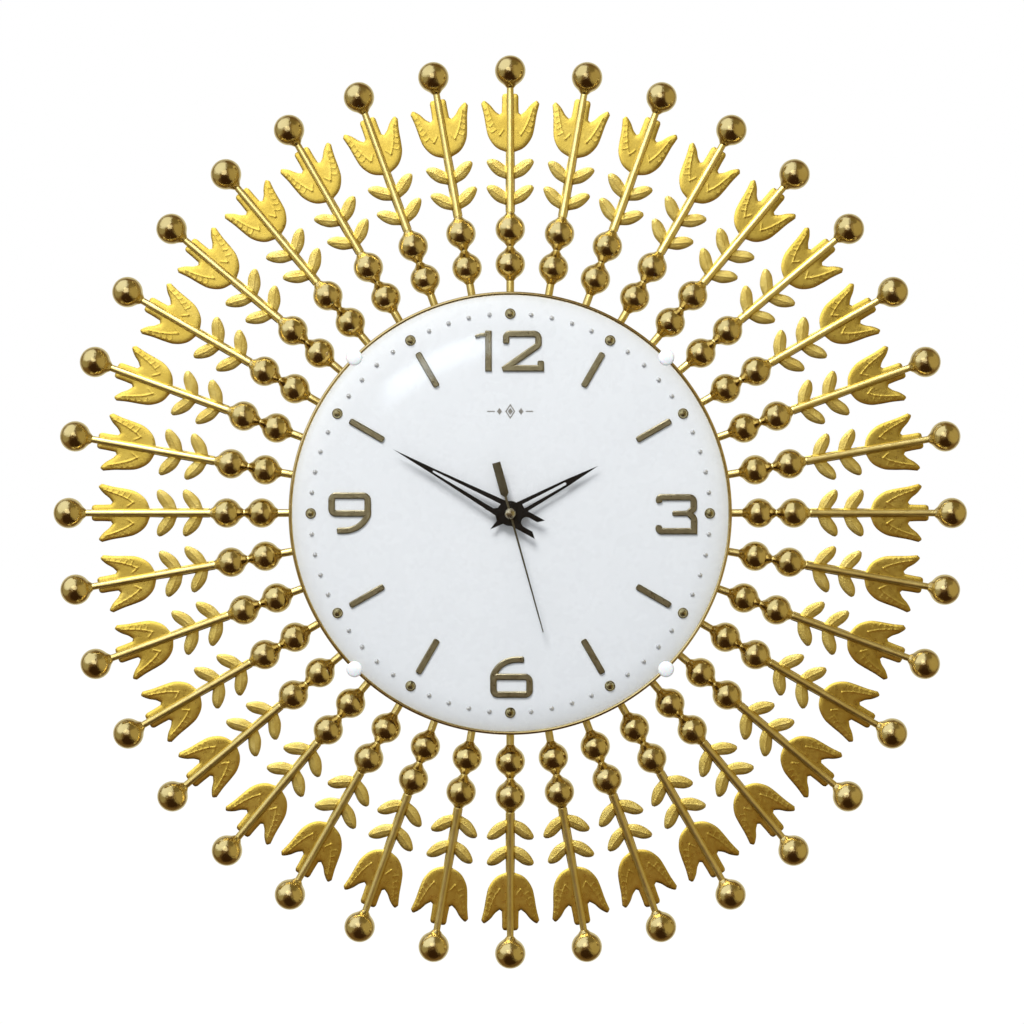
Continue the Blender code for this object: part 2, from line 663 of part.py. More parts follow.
def make_motor(bench, iron, copper, board):
    """Stepper motor: stator plate round the rotor, coil on its outer leg, and the drive board."""
    edge = [(-24.6, -7.5), (-9.2, -7.5), (-9.2, 9.5), (-24.6, 9.5)]
    window = [(-22.4, -5.4), (-18.2, -5.4), (-18.2, 7.4), (-22.4, 7.4)]
    hole = regular(16, 3.4, ROTOR_AT)
    bench.place("stator", flat_mesh("stator", [edge, window, hole], 14.2, 15.6), iron)
    coil_edge = [(-26.2, 11.6), (-20.4, 11.6), (-20.4, 18.2), (-26.2, 18.2)]
    coil_hole = [(-24.9, 13.9), (-22.1, 13.9), (-22.1, 15.9), (-24.9, 15.9)]
    coil = flat_mesh("coil", [coil_edge, coil_hole], -6.3, 4.3)
    coil.transform(Matrix.Rotation(math.pi / 2, 4, "X"))
    bench.place("coil", coil, copper)
    strip = block_mesh("circuit_board", (-22.0, 22.0), (19.4, 26.0), (8.0, 9.0))
    plate = bench.place("circuit_board", strip, board)
    chip = rod_mesh("chip", 2.8, 8.8, 10.2, 10, (-8.0, 22.7))
    crystal = block_mesh("crystal", (4.0, 10.4), (21.6, 23.8), (8.8, 11.0))
    bench.combine(plate, "UNION", chip, crystal)


# ---------------------------------------------------------------- wheels


def make_rotor(bench, finish):
    toward = ROTOR_DIRECTION + 180.0
    rotor = bench.place("rotor", rod_mesh("rotor", 0.5, 6.5, 19.7), finish, at=ROTOR_AT)
    magnet = rod_mesh("rotor_magnet", 3.0, 13.6, 16.4, 16)
    bench.combine(rotor, "UNION", gear_mesh("rotor_pinion", ROTOR_PINION, toward), magnet)


def make_intermediate_wheel(bench, finish):
    """Runs on a pin: its wheel is driven by the rotor, and its pinion drives the seconds wheel."""
    wheel_mesh = gear_mesh("intermediate_wheel", INTERMEDIATE_WHEEL, ROTOR_DIRECTION, driven=True)
    wheel = bench.place("intermediate_wheel", wheel_mesh, finish, at=INTERMEDIATE_AT)
    toward = INTERMEDIATE_DIRECTION + 180.0
    bench.combine(wheel, "UNION", gear_mesh("intermediate_pinion", INTERMEDIATE_PINION, toward))
    bench.combine(wheel, "DIFFERENCE", flat_mesh("intermediate_bore", [regular(8, PIN_BORE)], *THROUGH))


def make_seconds_wheel(bench, finish):
    """Wheel, pinion and the long arbor that carries the second hand."""
    wheel_mesh = gear_mesh("seconds_wheel", SECONDS_WHEEL, INTERMEDIATE_DIRECTION, driven=True)
    wheel = bench.place("seconds_wheel", wheel_mesh, finish)
    pinion = gear_mesh("seconds_pinion", SECONDS_PINION, THIRD_DIRECTION)
    bench.combine(wheel, "UNION", pinion, rod_mesh("seconds_arbor", SECONDS_SHAFT, 6.5, 31.5))


def make_third_wheel(bench, finish):
    toward = THIRD_DIRECTION + 180.0
    disc = gear_mesh("third_wheel", THIRD_WHEEL, toward, driven=True)
    wheel = bench.place("third_wheel", disc, finish, at=THIRD_AT)
    bench.combine(wheel, "UNION", gear_mesh("third_pinion", THIRD_PINION, toward))
    bench.combine(wheel, "DIFFERENCE", flat_mesh("third_bore", [regular(8, PIN_BORE)], *THROUGH))


def make_centre_wheel(bench, finish):
    """Slips on the minute arbor: the friction clutch that lets the hands be set."""
    disc = gear_mesh("centre_wheel", CENTRE_WHEEL, THIRD_DIRECTION, driven=True)
    wheel = bench.place("centre_wheel", disc, finish)
    bench.combine(wheel, "UNION", rod_mesh("centre_hub", 2.3, 11.6, 13.5))
    bore = flat_mesh("centre_bore", [regular(SHAFT_SIDES, MINUTE_TUBE + 0.05)], *THROUGH)
    bench.combine(wheel, "DIFFERENCE", bore)


def make_minute_arbor(bench, finish):
    """Cannon pinion: the tube on the seconds arbor that carries the minute hand."""
    arbor = bench.place("minute_arbor", rod_mesh("minute_arbor", MINUTE_TUBE, 11.3, 30.0), finish)
    bench.combine(arbor, "UNION", gear_mesh("cannon_pinion", CANNON_PINION, MINUTE_WHEEL_DIRECTION))
    bore = flat_mesh("minute_bore", [regular(SHAFT_SIDES, MINUTE_BORE)], *THROUGH)
    bench.combine(arbor, "DIFFERENCE", bore)


def make_minute_wheel(bench, finish):
    toward = MINUTE_WHEEL_DIRECTION + 180.0
    disc = gear_mesh("minute_wheel", MINUTE_WHEEL, toward, driven=True)
    wheel = bench.place("minute_wheel", disc, finish, at=MINUTE_WHEEL_AT)
    pinion = gear_mesh("minute_pinion", MINUTE_PINION, toward)
    bench.combine(wheel, "UNION", pinion, rod_mesh("setting_arbor", 0.8, 3.2, 20.2))


def make_hour_wheel(bench, finish):
    """Wheel and pipe that carries the hour hand."""
    disc = gear_mesh("hour_wheel", HOUR_WHEEL, MINUTE_WHEEL_DIRECTION, driven=True)
    wheel = bench.place("hour_wheel", disc, finish)
    bench.combine(wheel, "UNION", rod_mesh("hour_pipe", HOUR_TUBE, 16.7, 28.4))
    bench.combine(wheel, "DIFFERENCE", flat_mesh("hour_bore", [regular(SHAFT_SIDES, HOUR_BORE)], *THROUGH))


def make_setting_knob(bench, finish):
    """Fluted knob on the setting arbor, behind the cover."""
    flutes, outer, inner = 16, 6.0, 5.5
    step = 360.0 / flutes
    outline = []
    for index in range(flutes):
        for radius, turn in ((outer, -5.0), (outer, 5.0), (inner, step / 2)):
            outline.append(away(radius, index * step + turn))
    mesh = flat_mesh("setting_knob", [outline], 1.6, 4.9)
    knob = bench.place("setting_knob", mesh, finish, at=MINUTE_WHEEL_AT)
    bench.combine(knob, "DIFFERENCE", flat_mesh("knob_socket", [regular(SHAFT_SIDES, 0.84)], 2.9, 6.0))


# ---------------------------------------------------------------- assembly


def main():
    clear_scene()
    bench = Bench()
    gold_paint = material("gold_paint", (0.60, 0.43, 0.12), 1.0, 0.32)
    gold_plate = material("gold_plate", (0.78, 0.60, 0.22), 1.0, 0.15)
    white_enamel = material("white_enamel", (0.80, 0.82, 0.84), 0.0, 0.25)
    clear_glass = material("clear_glass", (0.95, 0.97, 0.97), 0.0, 0.03, alpha=0.2)
    black_paint = material("black_paint", (0.01, 0.01, 0.012), 0.0, 0.45)
    bronze = material("bronze", (0.20, 0.15, 0.07), 0.9, 0.35)
    black_plastic = material("black_plastic", (0.015, 0.015, 0.017), 0.0, 0.5)
    white_plastic = material("white_plastic", (0.75, 0.75, 0.72), 0.0, 0.4)
    brass = material("brass", (0.66, 0.48, 0.20), 1.0, 0.28)
    steel = material("steel", (0.45, 0.45, 0.46), 1.0, 0.35)
    copper = material("copper", (0.55, 0.22, 0.10), 0.9, 0.3)
    board_green = material("board_green", (0.04, 0.18, 0.07), 0.0, 0.45)
    battery_sleeve = material("battery_sleeve", (0.05, 0.10, 0.22), 0.2, 0.3)
    make_rays(bench, gold_paint)
    make_frame_ring(bench, gold_paint)
    make_hanger(bench, steel)
    make_bezel_ring(bench, gold_plate)
    make_glass_lens(bench, clear_glass)
    make_dial_plate(bench, white_enamel)
    make_minute_hand(bench, black_paint)
    make_hour_hand(bench, black_paint)
    make_second_hand(bench, bronze)
    make_movement_case(bench, black_plastic)
    make_movement_cover(bench, black_plastic)
    make_fixing_nut(bench, brass)
    make_battery(bench, battery_sleeve)
    make_motor(bench, steel, copper, board_green)
    make_rotor(bench, white_plastic)
    make_intermediate_wheel(bench, white_plastic)
    make_seconds_wheel(bench, brass)
    make_third_wheel(bench, white_plastic)
    make_centre_wheel(bench, brass)
    make_minute_arbor(bench, brass)
    make_minute_wheel(bench, white_plastic)
    make_hour_wheel(bench, brass)
    make_setting_knob(bench, black_plastic)


main()
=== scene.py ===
"""Looks of the sunburst wall clock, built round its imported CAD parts.

Lengths are in millimetres and become metres through MM. Pieces are modelled in face coordinates:
x to the viewer's right, y up towards 12 o'clock and z out from the wall, with the hand axis at
x = y = 0. FACE turns them upright into the row frame, where the clock faces -Y.
"""

import json
import random
from math import asin, atan2, cos, degrees, hypot, pi, radians, sin, tan

import bmesh
import bpy
import numpy as np
from mathutils import Matrix, Vector
from mathutils.geometry import delaunay_2d_cdt

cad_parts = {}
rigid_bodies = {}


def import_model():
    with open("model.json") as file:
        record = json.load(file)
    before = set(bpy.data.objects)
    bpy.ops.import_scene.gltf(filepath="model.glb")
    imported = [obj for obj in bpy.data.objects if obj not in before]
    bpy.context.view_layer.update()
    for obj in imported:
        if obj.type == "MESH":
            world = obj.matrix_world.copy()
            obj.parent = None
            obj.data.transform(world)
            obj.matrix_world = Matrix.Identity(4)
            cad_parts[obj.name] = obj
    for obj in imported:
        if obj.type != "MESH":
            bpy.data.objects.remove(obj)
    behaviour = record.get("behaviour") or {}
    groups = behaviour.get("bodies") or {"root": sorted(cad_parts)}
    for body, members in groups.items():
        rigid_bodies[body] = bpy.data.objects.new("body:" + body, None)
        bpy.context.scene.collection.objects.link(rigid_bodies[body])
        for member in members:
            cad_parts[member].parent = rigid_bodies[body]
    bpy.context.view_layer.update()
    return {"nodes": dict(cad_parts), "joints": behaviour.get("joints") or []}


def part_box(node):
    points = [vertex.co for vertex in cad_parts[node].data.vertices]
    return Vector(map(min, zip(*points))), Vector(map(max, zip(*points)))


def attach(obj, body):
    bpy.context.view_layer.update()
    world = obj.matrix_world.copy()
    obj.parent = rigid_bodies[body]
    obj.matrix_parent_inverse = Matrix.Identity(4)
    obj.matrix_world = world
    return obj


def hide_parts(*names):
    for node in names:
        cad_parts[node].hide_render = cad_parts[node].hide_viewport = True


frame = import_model()
JOINT_AT = {joint["name"]: joint["pos_m"] for joint in frame["joints"]}

MM = 0.001
ROOT = "clock_body"
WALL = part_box("frame_ring")[1].y
FACE = Matrix.Translation((0.0, WALL, 0.0)) @ Matrix.Rotation(pi / 2, 4, "X")


def level(node):
    """How far a CAD node's back and front stand off the wall."""
    low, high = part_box(node)
    return (WALL - high.y) / MM, (WALL - low.y) / MM


def radius_of(node):
    """Half of a CAD node's width."""
    low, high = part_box(node)
    return (high.x - low.x) / 2 / MM


def place_of(joint):
    """A joint's axis in face coordinates."""
    x, _, z = JOINT_AT[joint]
    return x / MM, z / MM


RAYS = sorted(name for name in frame["nodes"] if name.startswith("ray_"))
RAY_TURN = 360.0 / len(RAYS)
RAY_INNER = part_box("ray_01")[0].z / MM
RAY_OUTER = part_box("ray_01")[1].z / MM

# Along a ray: distance of each ball from the hand axis, and its radius.
OUTER_BALL_RADIUS = 10.5
BALLS = (
    ("inner", 171.3, 10.2),
    ("middle", 195.3, 10.2),
    ("outer", RAY_OUTER - OUTER_BALL_RADIUS, OUTER_BALL_RADIUS),
)
ROD_RADIUS = 2.5
ROD_Z = 14.2
PLATE_FOOT = 206.0
PLATE_Z = 12.2
PLATE_THICK = 1.0
LEAFLET_STEP = 17.9
PETALS_FROM = 246.5

CASE_BACK, CASE_FRONT = level("bezel_ring")
CASE_RADIUS = radius_of("bezel_ring")
GLASS_EDGE_Z, GLASS_TOP_Z = level("glass_lens")
GLASS_RADIUS = radius_of("glass_lens")
DIAL_RADIUS = radius_of("dial_plate")
DIAL_BACK = level("dial_plate")[0]
DIAL_Z = DIAL_BACK + 1.2
MARKER_WIDTH = 4.5
MARKER_HEIGHT = 1.5
DOT_RADIUS_AT = 137.0
ORNAMENT_Y = 70.0
HAND_HUB_RADIUS = 8.6
HAND_ANGLES = {"hour_hand": 61.6, "minute_hand": 298.7, "second_hand": 164.5}
KEYHOLE, SLOT_TOP = (0.0, 121.0), (0.0, 129.0)


# ---------------- lines


def on_circle(radius, angle, centre=(0.0, 0.0)):
    """Point on a circle, at an angle in degrees anticlockwise from +x."""
    angle = radians(angle)
    return centre[0] + radius * cos(angle), centre[1] + radius * sin(angle)


def arc(radius, start, end, steps, centre=(0.0, 0.0)):
    return [on_circle(radius, start + (end - start) * i / steps, centre) for i in range(steps + 1)]


def circle(radius, steps=48):
    return arc(radius, 0.0, 360.0 - 360.0 / steps, steps - 1)


def polar(radius, clock_angle, across=0.0):
    """Point at this distance towards a clockwise angle from 12, moved sideways by `across`."""
    angle = radians(clock_angle)
    x, y = radius * sin(angle), radius * cos(angle)
    return x + across * cos(angle), y - across * sin(angle)


def box_outline(x, y):
    """Corners of a rectangle from its (low, high) pairs."""
    return [(x[0], y[0]), (x[1], y[0]), (x[1], y[1]), (x[0], y[1])]


def mirrored(half):
    """The closed outline of a right half given from its foot up to its top."""
    return half + [(-x, y) for x, y in reversed(half) if x > 1e-6]


def shifted(points, rise):
    return [(x, y + rise) for x, y in points]


def rounded(points, radius, closed=False, steps=6):
    """The line of points with its corners turned into arcs. A third number in a point is its own radius."""
    made = []
    count = len(points)
    for i, point in enumerate(points):
        here = Vector(point[:2])
        wanted = point[2] if len(point) > 2 else radius
        if wanted <= 0 or (not closed and i in (0, count - 1)):
            made.append(tuple(here))
            continue
        before = Vector(points[i - 1][:2]) - here
        after = Vector(points[(i + 1) % count][:2]) - here
        slope = tan(before.angle(after) / 2)
        reach = min(wanted / slope, before.length * 0.49, after.length * 0.49)
        start = here + before.normalized() * reach
        middle = (before.normalized() + after.normalized()).normalized()
        centre = here + middle * hypot(reach, reach * slope)
        spoke, last = start - centre, here + after.normalized() * reach - centre
        sweep = atan2(spoke.x * last.y - spoke.y * last.x, spoke.dot(last))
        for k in range(steps + 1):
            made.append(tuple(centre + Matrix.Rotation(sweep * k / steps, 2) @ spoke))
    return made


def flow(points, spacing=0.7):
    """Smooth line through the points, with a point about every `spacing`."""
    p = [Vector(point) for point in points]
    p = [2 * p[0] - p[1]] + p + [2 * p[-1] - p[-2]]
    made = []
    for before, start, end, after in zip(p, p[1:], p[2:], p[3:]):
        slope = end - before
        bend = 2 * before - 5 * start + 4 * end - after
        twist = 3 * start - before - 3 * end + after
        steps = max(1, round((end - start).length / spacing))
        for t in (k / steps for k in range(steps)):
            made.append(tuple(0.5 * (2 * start + slope * t + bend * t**2 + twist * t**3)))
    made.append(tuple(p[-2]))
    return made


# ---------------- meshes


def add_object(name, data):
    obj = bpy.data.objects.new(name, data)
    bpy.context.scene.collection.objects.link(obj)
    return obj


def baked(obj):
    """An object's mesh as its modifiers or its curve settings leave it."""
    graph = bpy.context.evaluated_depsgraph_get()
    return bpy.data.meshes.new_from_object(obj.evaluated_get(graph))


def smoothed(mesh, sharp):
    """Shades a mesh smooth except over edges sharper than this many degrees."""
    mesh.shade_smooth()
    mesh.set_sharp_from_angle(angle=radians(sharp))
    return mesh


def faced_out(mesh, weld=0.0):
    """Turns a closed mesh's faces outward, after joining points closer than `weld` metres."""
    shape = bmesh.new()
    shape.from_mesh(mesh)
    if weld:
        bmesh.ops.remove_doubles(shape, verts=shape.verts, dist=weld)
    bmesh.ops.recalc_face_normals(shape, faces=shape.faces)
    shape.to_mesh(mesh)
    shape.free()
    return mesh


def mesh_from(verts, faces, sharp=35.0):
    """Mesh from points in millimetres."""
    mesh = bpy.data.meshes.new("mesh")
    mesh.from_pydata([tuple(c * MM for c in v) for v in verts], [], faces)
    return smoothed(mesh, sharp)


def turned(mesh, angle, axis):
    """The same mesh turned by radians about an axis through the origin."""
    mesh.transform(Matrix.Rotation(angle, 4, axis))
    return mesh


def moved(mesh, x=0.0, y=0.0, z=0.0, turn=0.0):
    """The same mesh turned clockwise about z by degrees and then moved."""
    mesh.transform(Matrix.Translation((x * MM, y * MM, z * MM)) @ Matrix.Rotation(-radians(turn), 4, "Z"))
    return mesh


def lathe(profile, sides=96, closed=False, sharp=35.0):
    """Turns (radius, height) points about z. The profile runs from the top down its outer side."""
    verts, rings = [], []
    for radius, height in profile:
        count = sides if radius > 1e-6 else 1
        rings.append(range(len(verts), len(verts) + count))
        for i in range(count):
            angle = 2 * pi * i / sides
            verts.append((radius * cos(angle), radius * sin(angle), height))
    pairs = list(zip(rings, rings[1:]))
    if closed:
        pairs.append((rings[-1], rings[0]))
    faces = []
    for upper, lower in pairs:
        for i in range(sides):
            corners = ((upper, i), (lower, i), (lower, i + 1), (upper, i + 1))
            face = list(dict.fromkeys(ring[k % len(ring)] for ring, k in corners))
            if len(face) > 2:
                faces.append(face)
    return mesh_from(verts, faces, sharp)


def curve_mesh(lines, cyclic, **settings):
    """Mesh of a curve object through lines of (x, y, z) points."""
    curve = bpy.data.curves.new("curve", "CURVE")
    for setting, value in settings.items():
        setattr(curve, setting, value)
    for line in lines:
        spline = curve.splines.new("POLY")
        spline.points.add(len(line) - 1)
        for point, place in zip(spline.points, line):
            point.co = (*(c * MM for c in place), 1.0)
        spline.use_cyclic_u = cyclic
    obj = add_object("curve", curve)
    mesh = baked(obj)
    bpy.data.objects.remove(obj)
    mesh.shade_smooth()
    return mesh


def plate(outlines, low, high, bevel=0.0, bevel_steps=1, sharp=35.0):
    """Flat plate with chamfered edges. The first outline is its edge, and the others are its holes."""
    lines = [[(x, y, 0.0) for x, y in outline] for outline in outlines]
    extrude = ((high - low) / 2 - bevel) * MM
    mesh = curve_mesh(
        lines, True, dimensions="2D", fill_mode="BOTH", extrude=extrude,
        bevel_depth=bevel * MM, bevel_resolution=bevel_steps, offset=-bevel * MM,
    )
    return smoothed(moved(faced_out(mesh, weld=2e-6), z=(high + low) / 2), sharp)


def block(x, y, z, bevel=0.3):
    """Box from (low, high) pairs, with softened edges."""
    return plate([rounded(box_outline(x, y), bevel, closed=True)], z[0], z[1], bevel, 2)


def tube(path, radius, cyclic=False):
    """Round wire along a path of (x, y, z) points."""
    return curve_mesh(
        [path], cyclic, dimensions="3D", bevel_depth=radius * MM, bevel_resolution=3,
        use_fill_caps=not cyclic,
    )


def joined(meshes):
    """One mesh holding several."""
    shape = bmesh.new()
    for mesh in meshes:
        shape.from_mesh(mesh)
    made = bpy.data.meshes.new("mesh")
    shape.to_mesh(made)
    shape.free()
    return made


def piece(name, mesh, finish=None, body=ROOT, replaces=(), at=(0.0, 0.0), turn=0.0):
    """Puts a mesh on the clock, turned clockwise about z at `at`, riding on a body."""
    if finish is not None:
        mesh.materials.clear()
        mesh.materials.append(FINISH[finish])
    if not mesh.users:
        mesh.name = name
    obj = add_object(name, mesh)
    shift = Matrix.Translation((at[0] * MM, at[1] * MM, 0.0))
    obj.matrix_world = FACE @ shift @ Matrix.Rotation(-radians(turn), 4, "Z")
    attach(obj, body)
    if replaces:
        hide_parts(*replaces)
    return obj


# ---------------- materials


FINISH = {}


def feed(node, inputs):
    """Gives each of a node's inputs, by name or number, a value or another node's output."""
    for key, value in inputs.items():
        if isinstance(value, bpy.types.NodeSocket):
            node.id_data.links.new(value, node.inputs[key])
        else:
            node.inputs[key].default_value = value
    return node


def add_node(tree, kind, inputs=None, **settings):
    node = tree.nodes.new("ShaderNode" + kind)
    for name, value in settings.items():
        setattr(node, name, value)
    return feed(node, inputs or {})


def new_material(name):
    material = bpy.data.materials.new(name)
    material.use_nodes = True
    FINISH[name] = material
    return material.node_tree


def pattern(tree, place, scale, detail):
    """Noise at this scale, or round cells where no detail is given."""
    if detail is None:
        return add_node(tree, "TexVoronoi", {"Scale": scale, "Vector": place}).outputs["Distance"]
    inputs = {"Scale": scale, "Detail": detail, "Roughness": 0.55, "Vector": place}
    return add_node(tree, "TexNoise", inputs).outputs["Fac"]


def spread(tree, value, low, high, start=0.3, end=0.7, **settings):
    """Stretches what lies between start and end over low to high."""
    inputs = {"Value": value, "From Min": start, "From Max": end, "To Min": low, "To Max": high}
    return add_node(tree, "MapRange", inputs, **settings).outputs["Result"]


def finish(name, metallic, grain, stops, tones, gloss, relief, moving=False, extra=None):
    """A metal, paint or plastic whose colour, roughness and relief each come from noise at its own scale.

    `grain` is the colour noise's (scale, detail), with a tone at each stop. `gloss` is the roughness
    noise's (scale, detail, low, high). Each layer of `relief` is (scale, detail, depth in mm, strength).
    """
    tree = new_material(name)
    if moving:
        place = add_node(tree, "TexCoord").outputs["Object"]
    else:
        place = add_node(tree, "NewGeometry").outputs["Position"]
    ramp = add_node(tree, "ValToRGB", {"Fac": pattern(tree, place, *grain)})
    elements = ramp.color_ramp.elements
    while len(elements) < len(stops):
        elements.new(0.5)
    for element, position, tone in zip(elements, stops, tones):
        element.position = position
        element.color = (*tone, 1.0)
    normal = {}
    for scale, detail, depth, strength in relief:
        inputs = {"Distance": depth * MM, "Strength": strength, **normal}
        bump = add_node(tree, "Bump", {"Height": pattern(tree, place, scale, detail), **inputs})
        normal = {"Normal": bump.outputs["Normal"]}
    rough = spread(tree, pattern(tree, place, *gloss[:2]), *gloss[2:])
    surface = {"Metallic": metallic, "Base Color": ramp.outputs["Color"], "Roughness": rough}
    feed(tree.nodes["Principled BSDF"], {**surface, **normal, **(extra or {})})


# Where along the colour noise the tones stand.
EVEN, LATE, WIDE, PAIR = (0.30, 0.55, 0.75), (0.30, 0.60, 0.80), (0.25, 0.60, 0.85), (0.30, 0.75)


def make_golds():
    """Lacquered and plated golds, and the bronze of the dial's raised markers."""
    # Satin lacquer over brazed steel, with a fine orange peel.
    finish(
        "gold_paint", 1.0, (35, 4), EVEN, ((0.68, 0.49, 0.105), (0.76, 0.57, 0.145), (0.82, 0.63, 0.20)),
        (260, 3, 0.30, 0.42), ((900, 2, 0.05, 0.35), (120, 2, 0.15, 0.25)),
    )
    # Lacquer on drawn wire, painted paler and whiter than on sheet: a painted sheen that stands in for the
    # brighter highlight the round rods catch.
    finish(
        "wire_gold", 1.0, (60, 4), EVEN, ((0.84, 0.69, 0.26), (0.90, 0.76, 0.33), (0.94, 0.81, 0.40)),
        (260, 3, 0.34, 0.44), ((900, 2, 0.04, 0.3), (140, 2, 0.10, 0.2)),
    )
    # Lacquer on the stamped petals, whose sheet is lightly hammered.
    finish(
        "stamped_gold", 1.0, (45, 4), EVEN, ((0.63, 0.46, 0.085), (0.70, 0.53, 0.115), (0.76, 0.59, 0.15)),
        (300, 3, 0.26, 0.36), ((620, None, 0.12, 0.10), (1100, 2, 0.05, 0.14)),
    )
    # Leaflets, which the die leaves dimpled and matt.
    finish(
        "hammered_gold", 1.0, (140, 4), EVEN, ((0.66, 0.50, 0.13), (0.75, 0.60, 0.18), (0.83, 0.69, 0.26)),
        (500, 3, 0.40, 0.55), ((1300, None, 0.16, 0.75), (1500, 2, 0.06, 0.5)),
    )
    # Lacquer over lumps of braze metal.
    finish(
        "brazed_gold", 1.0, (120, 4), LATE, ((0.46, 0.30, 0.06), (0.60, 0.42, 0.10), (0.72, 0.54, 0.15)),
        (300, 3, 0.34, 0.55), ((700, 3, 0.15, 0.5),),
    )
    # Plated balls: nearly a mirror, a little uneven from polishing.
    finish(
        "polished_gold", 1.0, (90, 3), LATE, ((0.78, 0.65, 0.31), (0.86, 0.73, 0.38), (0.90, 0.78, 0.44)),
        (180, 4, 0.13, 0.21), ((250, 3, 0.60, 0.55), (700, 2, 0.02, 0.3)),
    )
    finish(
        "bezel_gold", 1.0, (60, 3), LATE, ((0.70, 0.56, 0.27), (0.79, 0.66, 0.36), (0.86, 0.74, 0.44)),
        (240, 3, 0.16, 0.28), ((500, 2, 0.04, 0.3),),
    )
    finish(
        "marker_bronze", 1.0, (180, 4), LATE, ((0.26, 0.225, 0.145), (0.34, 0.30, 0.20), (0.42, 0.375, 0.26)),
        (500, 3, 0.26, 0.40), ((1500, 2, 0.03, 0.4),),
    )
    finish(
        "gem_gold", 1.0, (420, 4), WIDE, ((0.34, 0.29, 0.16), (0.56, 0.49, 0.28), (0.80, 0.72, 0.46)),
        (700, 3, 0.10, 0.24), ((900, 2, 0.05, 0.5),),
    )


def make_dial_finishes():
    """Cool white enamel, the small trim on it, and the hands."""
    finish(
        "dial_white", 0.0, (14, 3), (0.30, 0.70), ((0.785, 0.792, 0.812), (0.808, 0.814, 0.832)),
        (120, 3, 0.22, 0.34), ((300, 2, 0.02, 0.25),), extra={"Coat Weight": 0.3, "Coat Roughness": 0.05},
    )
    finish(
        "dot_silver", 0.6, (300, 3), PAIR, ((0.66, 0.67, 0.70), (0.82, 0.83, 0.85)),
        (800, 3, 0.16, 0.30), ((1200, 2, 0.02, 0.3),),
    )
    finish(
        "print_grey", 0.5, (400, 3), PAIR, ((0.30, 0.29, 0.27), (0.42, 0.40, 0.37)),
        (600, 3, 0.30, 0.42), ((1200, 2, 0.01, 0.2),),
    )
    finish(
        "pad_silicone", 0.0, (150, 3), PAIR, ((0.84, 0.85, 0.86), (0.90, 0.91, 0.92)),
        (500, 3, 0.28, 0.42), ((900, 2, 0.03, 0.3),),
        extra={"Subsurface Weight": 0.25, "Subsurface Scale": 0.004, "Coat Weight": 0.2},
    )
    finish(
        "hand_black", 0.0, (240, 3), PAIR, ((0.003, 0.003, 0.004), (0.008, 0.008, 0.009)),
        (600, 3, 0.42, 0.58), ((1600, 2, 0.02, 0.35),), True, {"Specular IOR Level": 0.05},
    )
    finish(
        "hand_bronze", 0.85, (160, 3), PAIR, ((0.120, 0.105, 0.070), (0.200, 0.180, 0.120)),
        (700, 3, 0.30, 0.45), ((1500, 2, 0.02, 0.3),), True,
    )
    finish(
        "cap_silver", 1.0, (400, 3), PAIR, ((0.52, 0.47, 0.36), (0.72, 0.67, 0.54)),
        (900, 3, 0.20, 0.32), ((1400, 2, 0.02, 0.4),), True,
    )


def make_stock_finishes():
    """Moulded, turned and rolled stock inside and behind: two tones, uneven gloss and a fine grain."""
    brass = (0.52, 0.36, 0.13), (0.70, 0.52, 0.22)
    stock = (
        ("moulded_black", 0.0, 260, (0.010, 0.010, 0.011), (0.022, 0.022, 0.024), (0.36, 0.52), False),
        ("acetal", 0.0, 300, (0.70, 0.69, 0.65), (0.80, 0.79, 0.75), (0.32, 0.45), True),
        ("brass", 1.0, 200, *brass, (0.22, 0.36), False),
        ("turned_brass", 1.0, 260, *brass, (0.20, 0.34), True),
        ("bright_steel", 1.0, 200, (0.40, 0.40, 0.41), (0.58, 0.58, 0.60), (0.25, 0.38), False),
        ("enamelled_copper", 0.9, 500, (0.36, 0.11, 0.04), (0.58, 0.22, 0.09), (0.25, 0.38), False),
        ("board_green", 0.0, 200, (0.018, 0.10, 0.035), (0.035, 0.16, 0.06), (0.28, 0.42), False),
        ("sleeve_graphite", 0.3, 120, (0.020, 0.022, 0.026), (0.036, 0.038, 0.044), (0.16, 0.26), False),
        ("sleeve_copper", 0.9, 120, (0.50, 0.24, 0.09), (0.64, 0.34, 0.14), (0.16, 0.26), False),
        ("knob_black", 0.0, 260, (0.012, 0.012, 0.013), (0.026, 0.026, 0.028), (0.34, 0.48), True),
    )
    for name, metallic, scale, dark, light, rough, moving in stock:
        gloss, relief = (scale * 2.5, 3, *rough), ((scale * 5, 2, 0.03, 0.4),)
        finish(name, metallic, (scale, 4), PAIR, (dark, light), gloss, relief, moving)


def make_glass():
    """Glass as a mirror that strengthens towards grazing, over what lies behind it."""
    tree = new_material("clear_glass")
    tree.nodes.remove(tree.nodes["Principled BSDF"])
    place = add_node(tree, "NewGeometry").outputs["Position"]
    facing = add_node(tree, "LayerWeight", {"Blend": 0.5}).outputs["Facing"]
    power = add_node(tree, "Math", {0: facing, 1: 5.0}, operation="POWER").outputs[0]
    share = spread(tree, power, 0.04, 0.6, 0.0, 1.0)
    clear = add_node(tree, "BsdfTransparent", {"Color": (0.985, 0.992, 0.990, 1.0)})
    rough = spread(tree, pattern(tree, place, 60, 3), 0.07, 0.09)
    mirror = add_node(tree, "BsdfGlossy", {"Color": (0.82, 0.91, 1.0, 1.0), "Roughness": rough})
    mix = add_node(tree, "MixShader", {"Fac": share, 1: clear.outputs["BSDF"], 2: mirror.outputs["BSDF"]})
    feed(tree.nodes["Material Output"], {"Surface": mix.outputs["Shader"]})


# ---------------- leaf plates


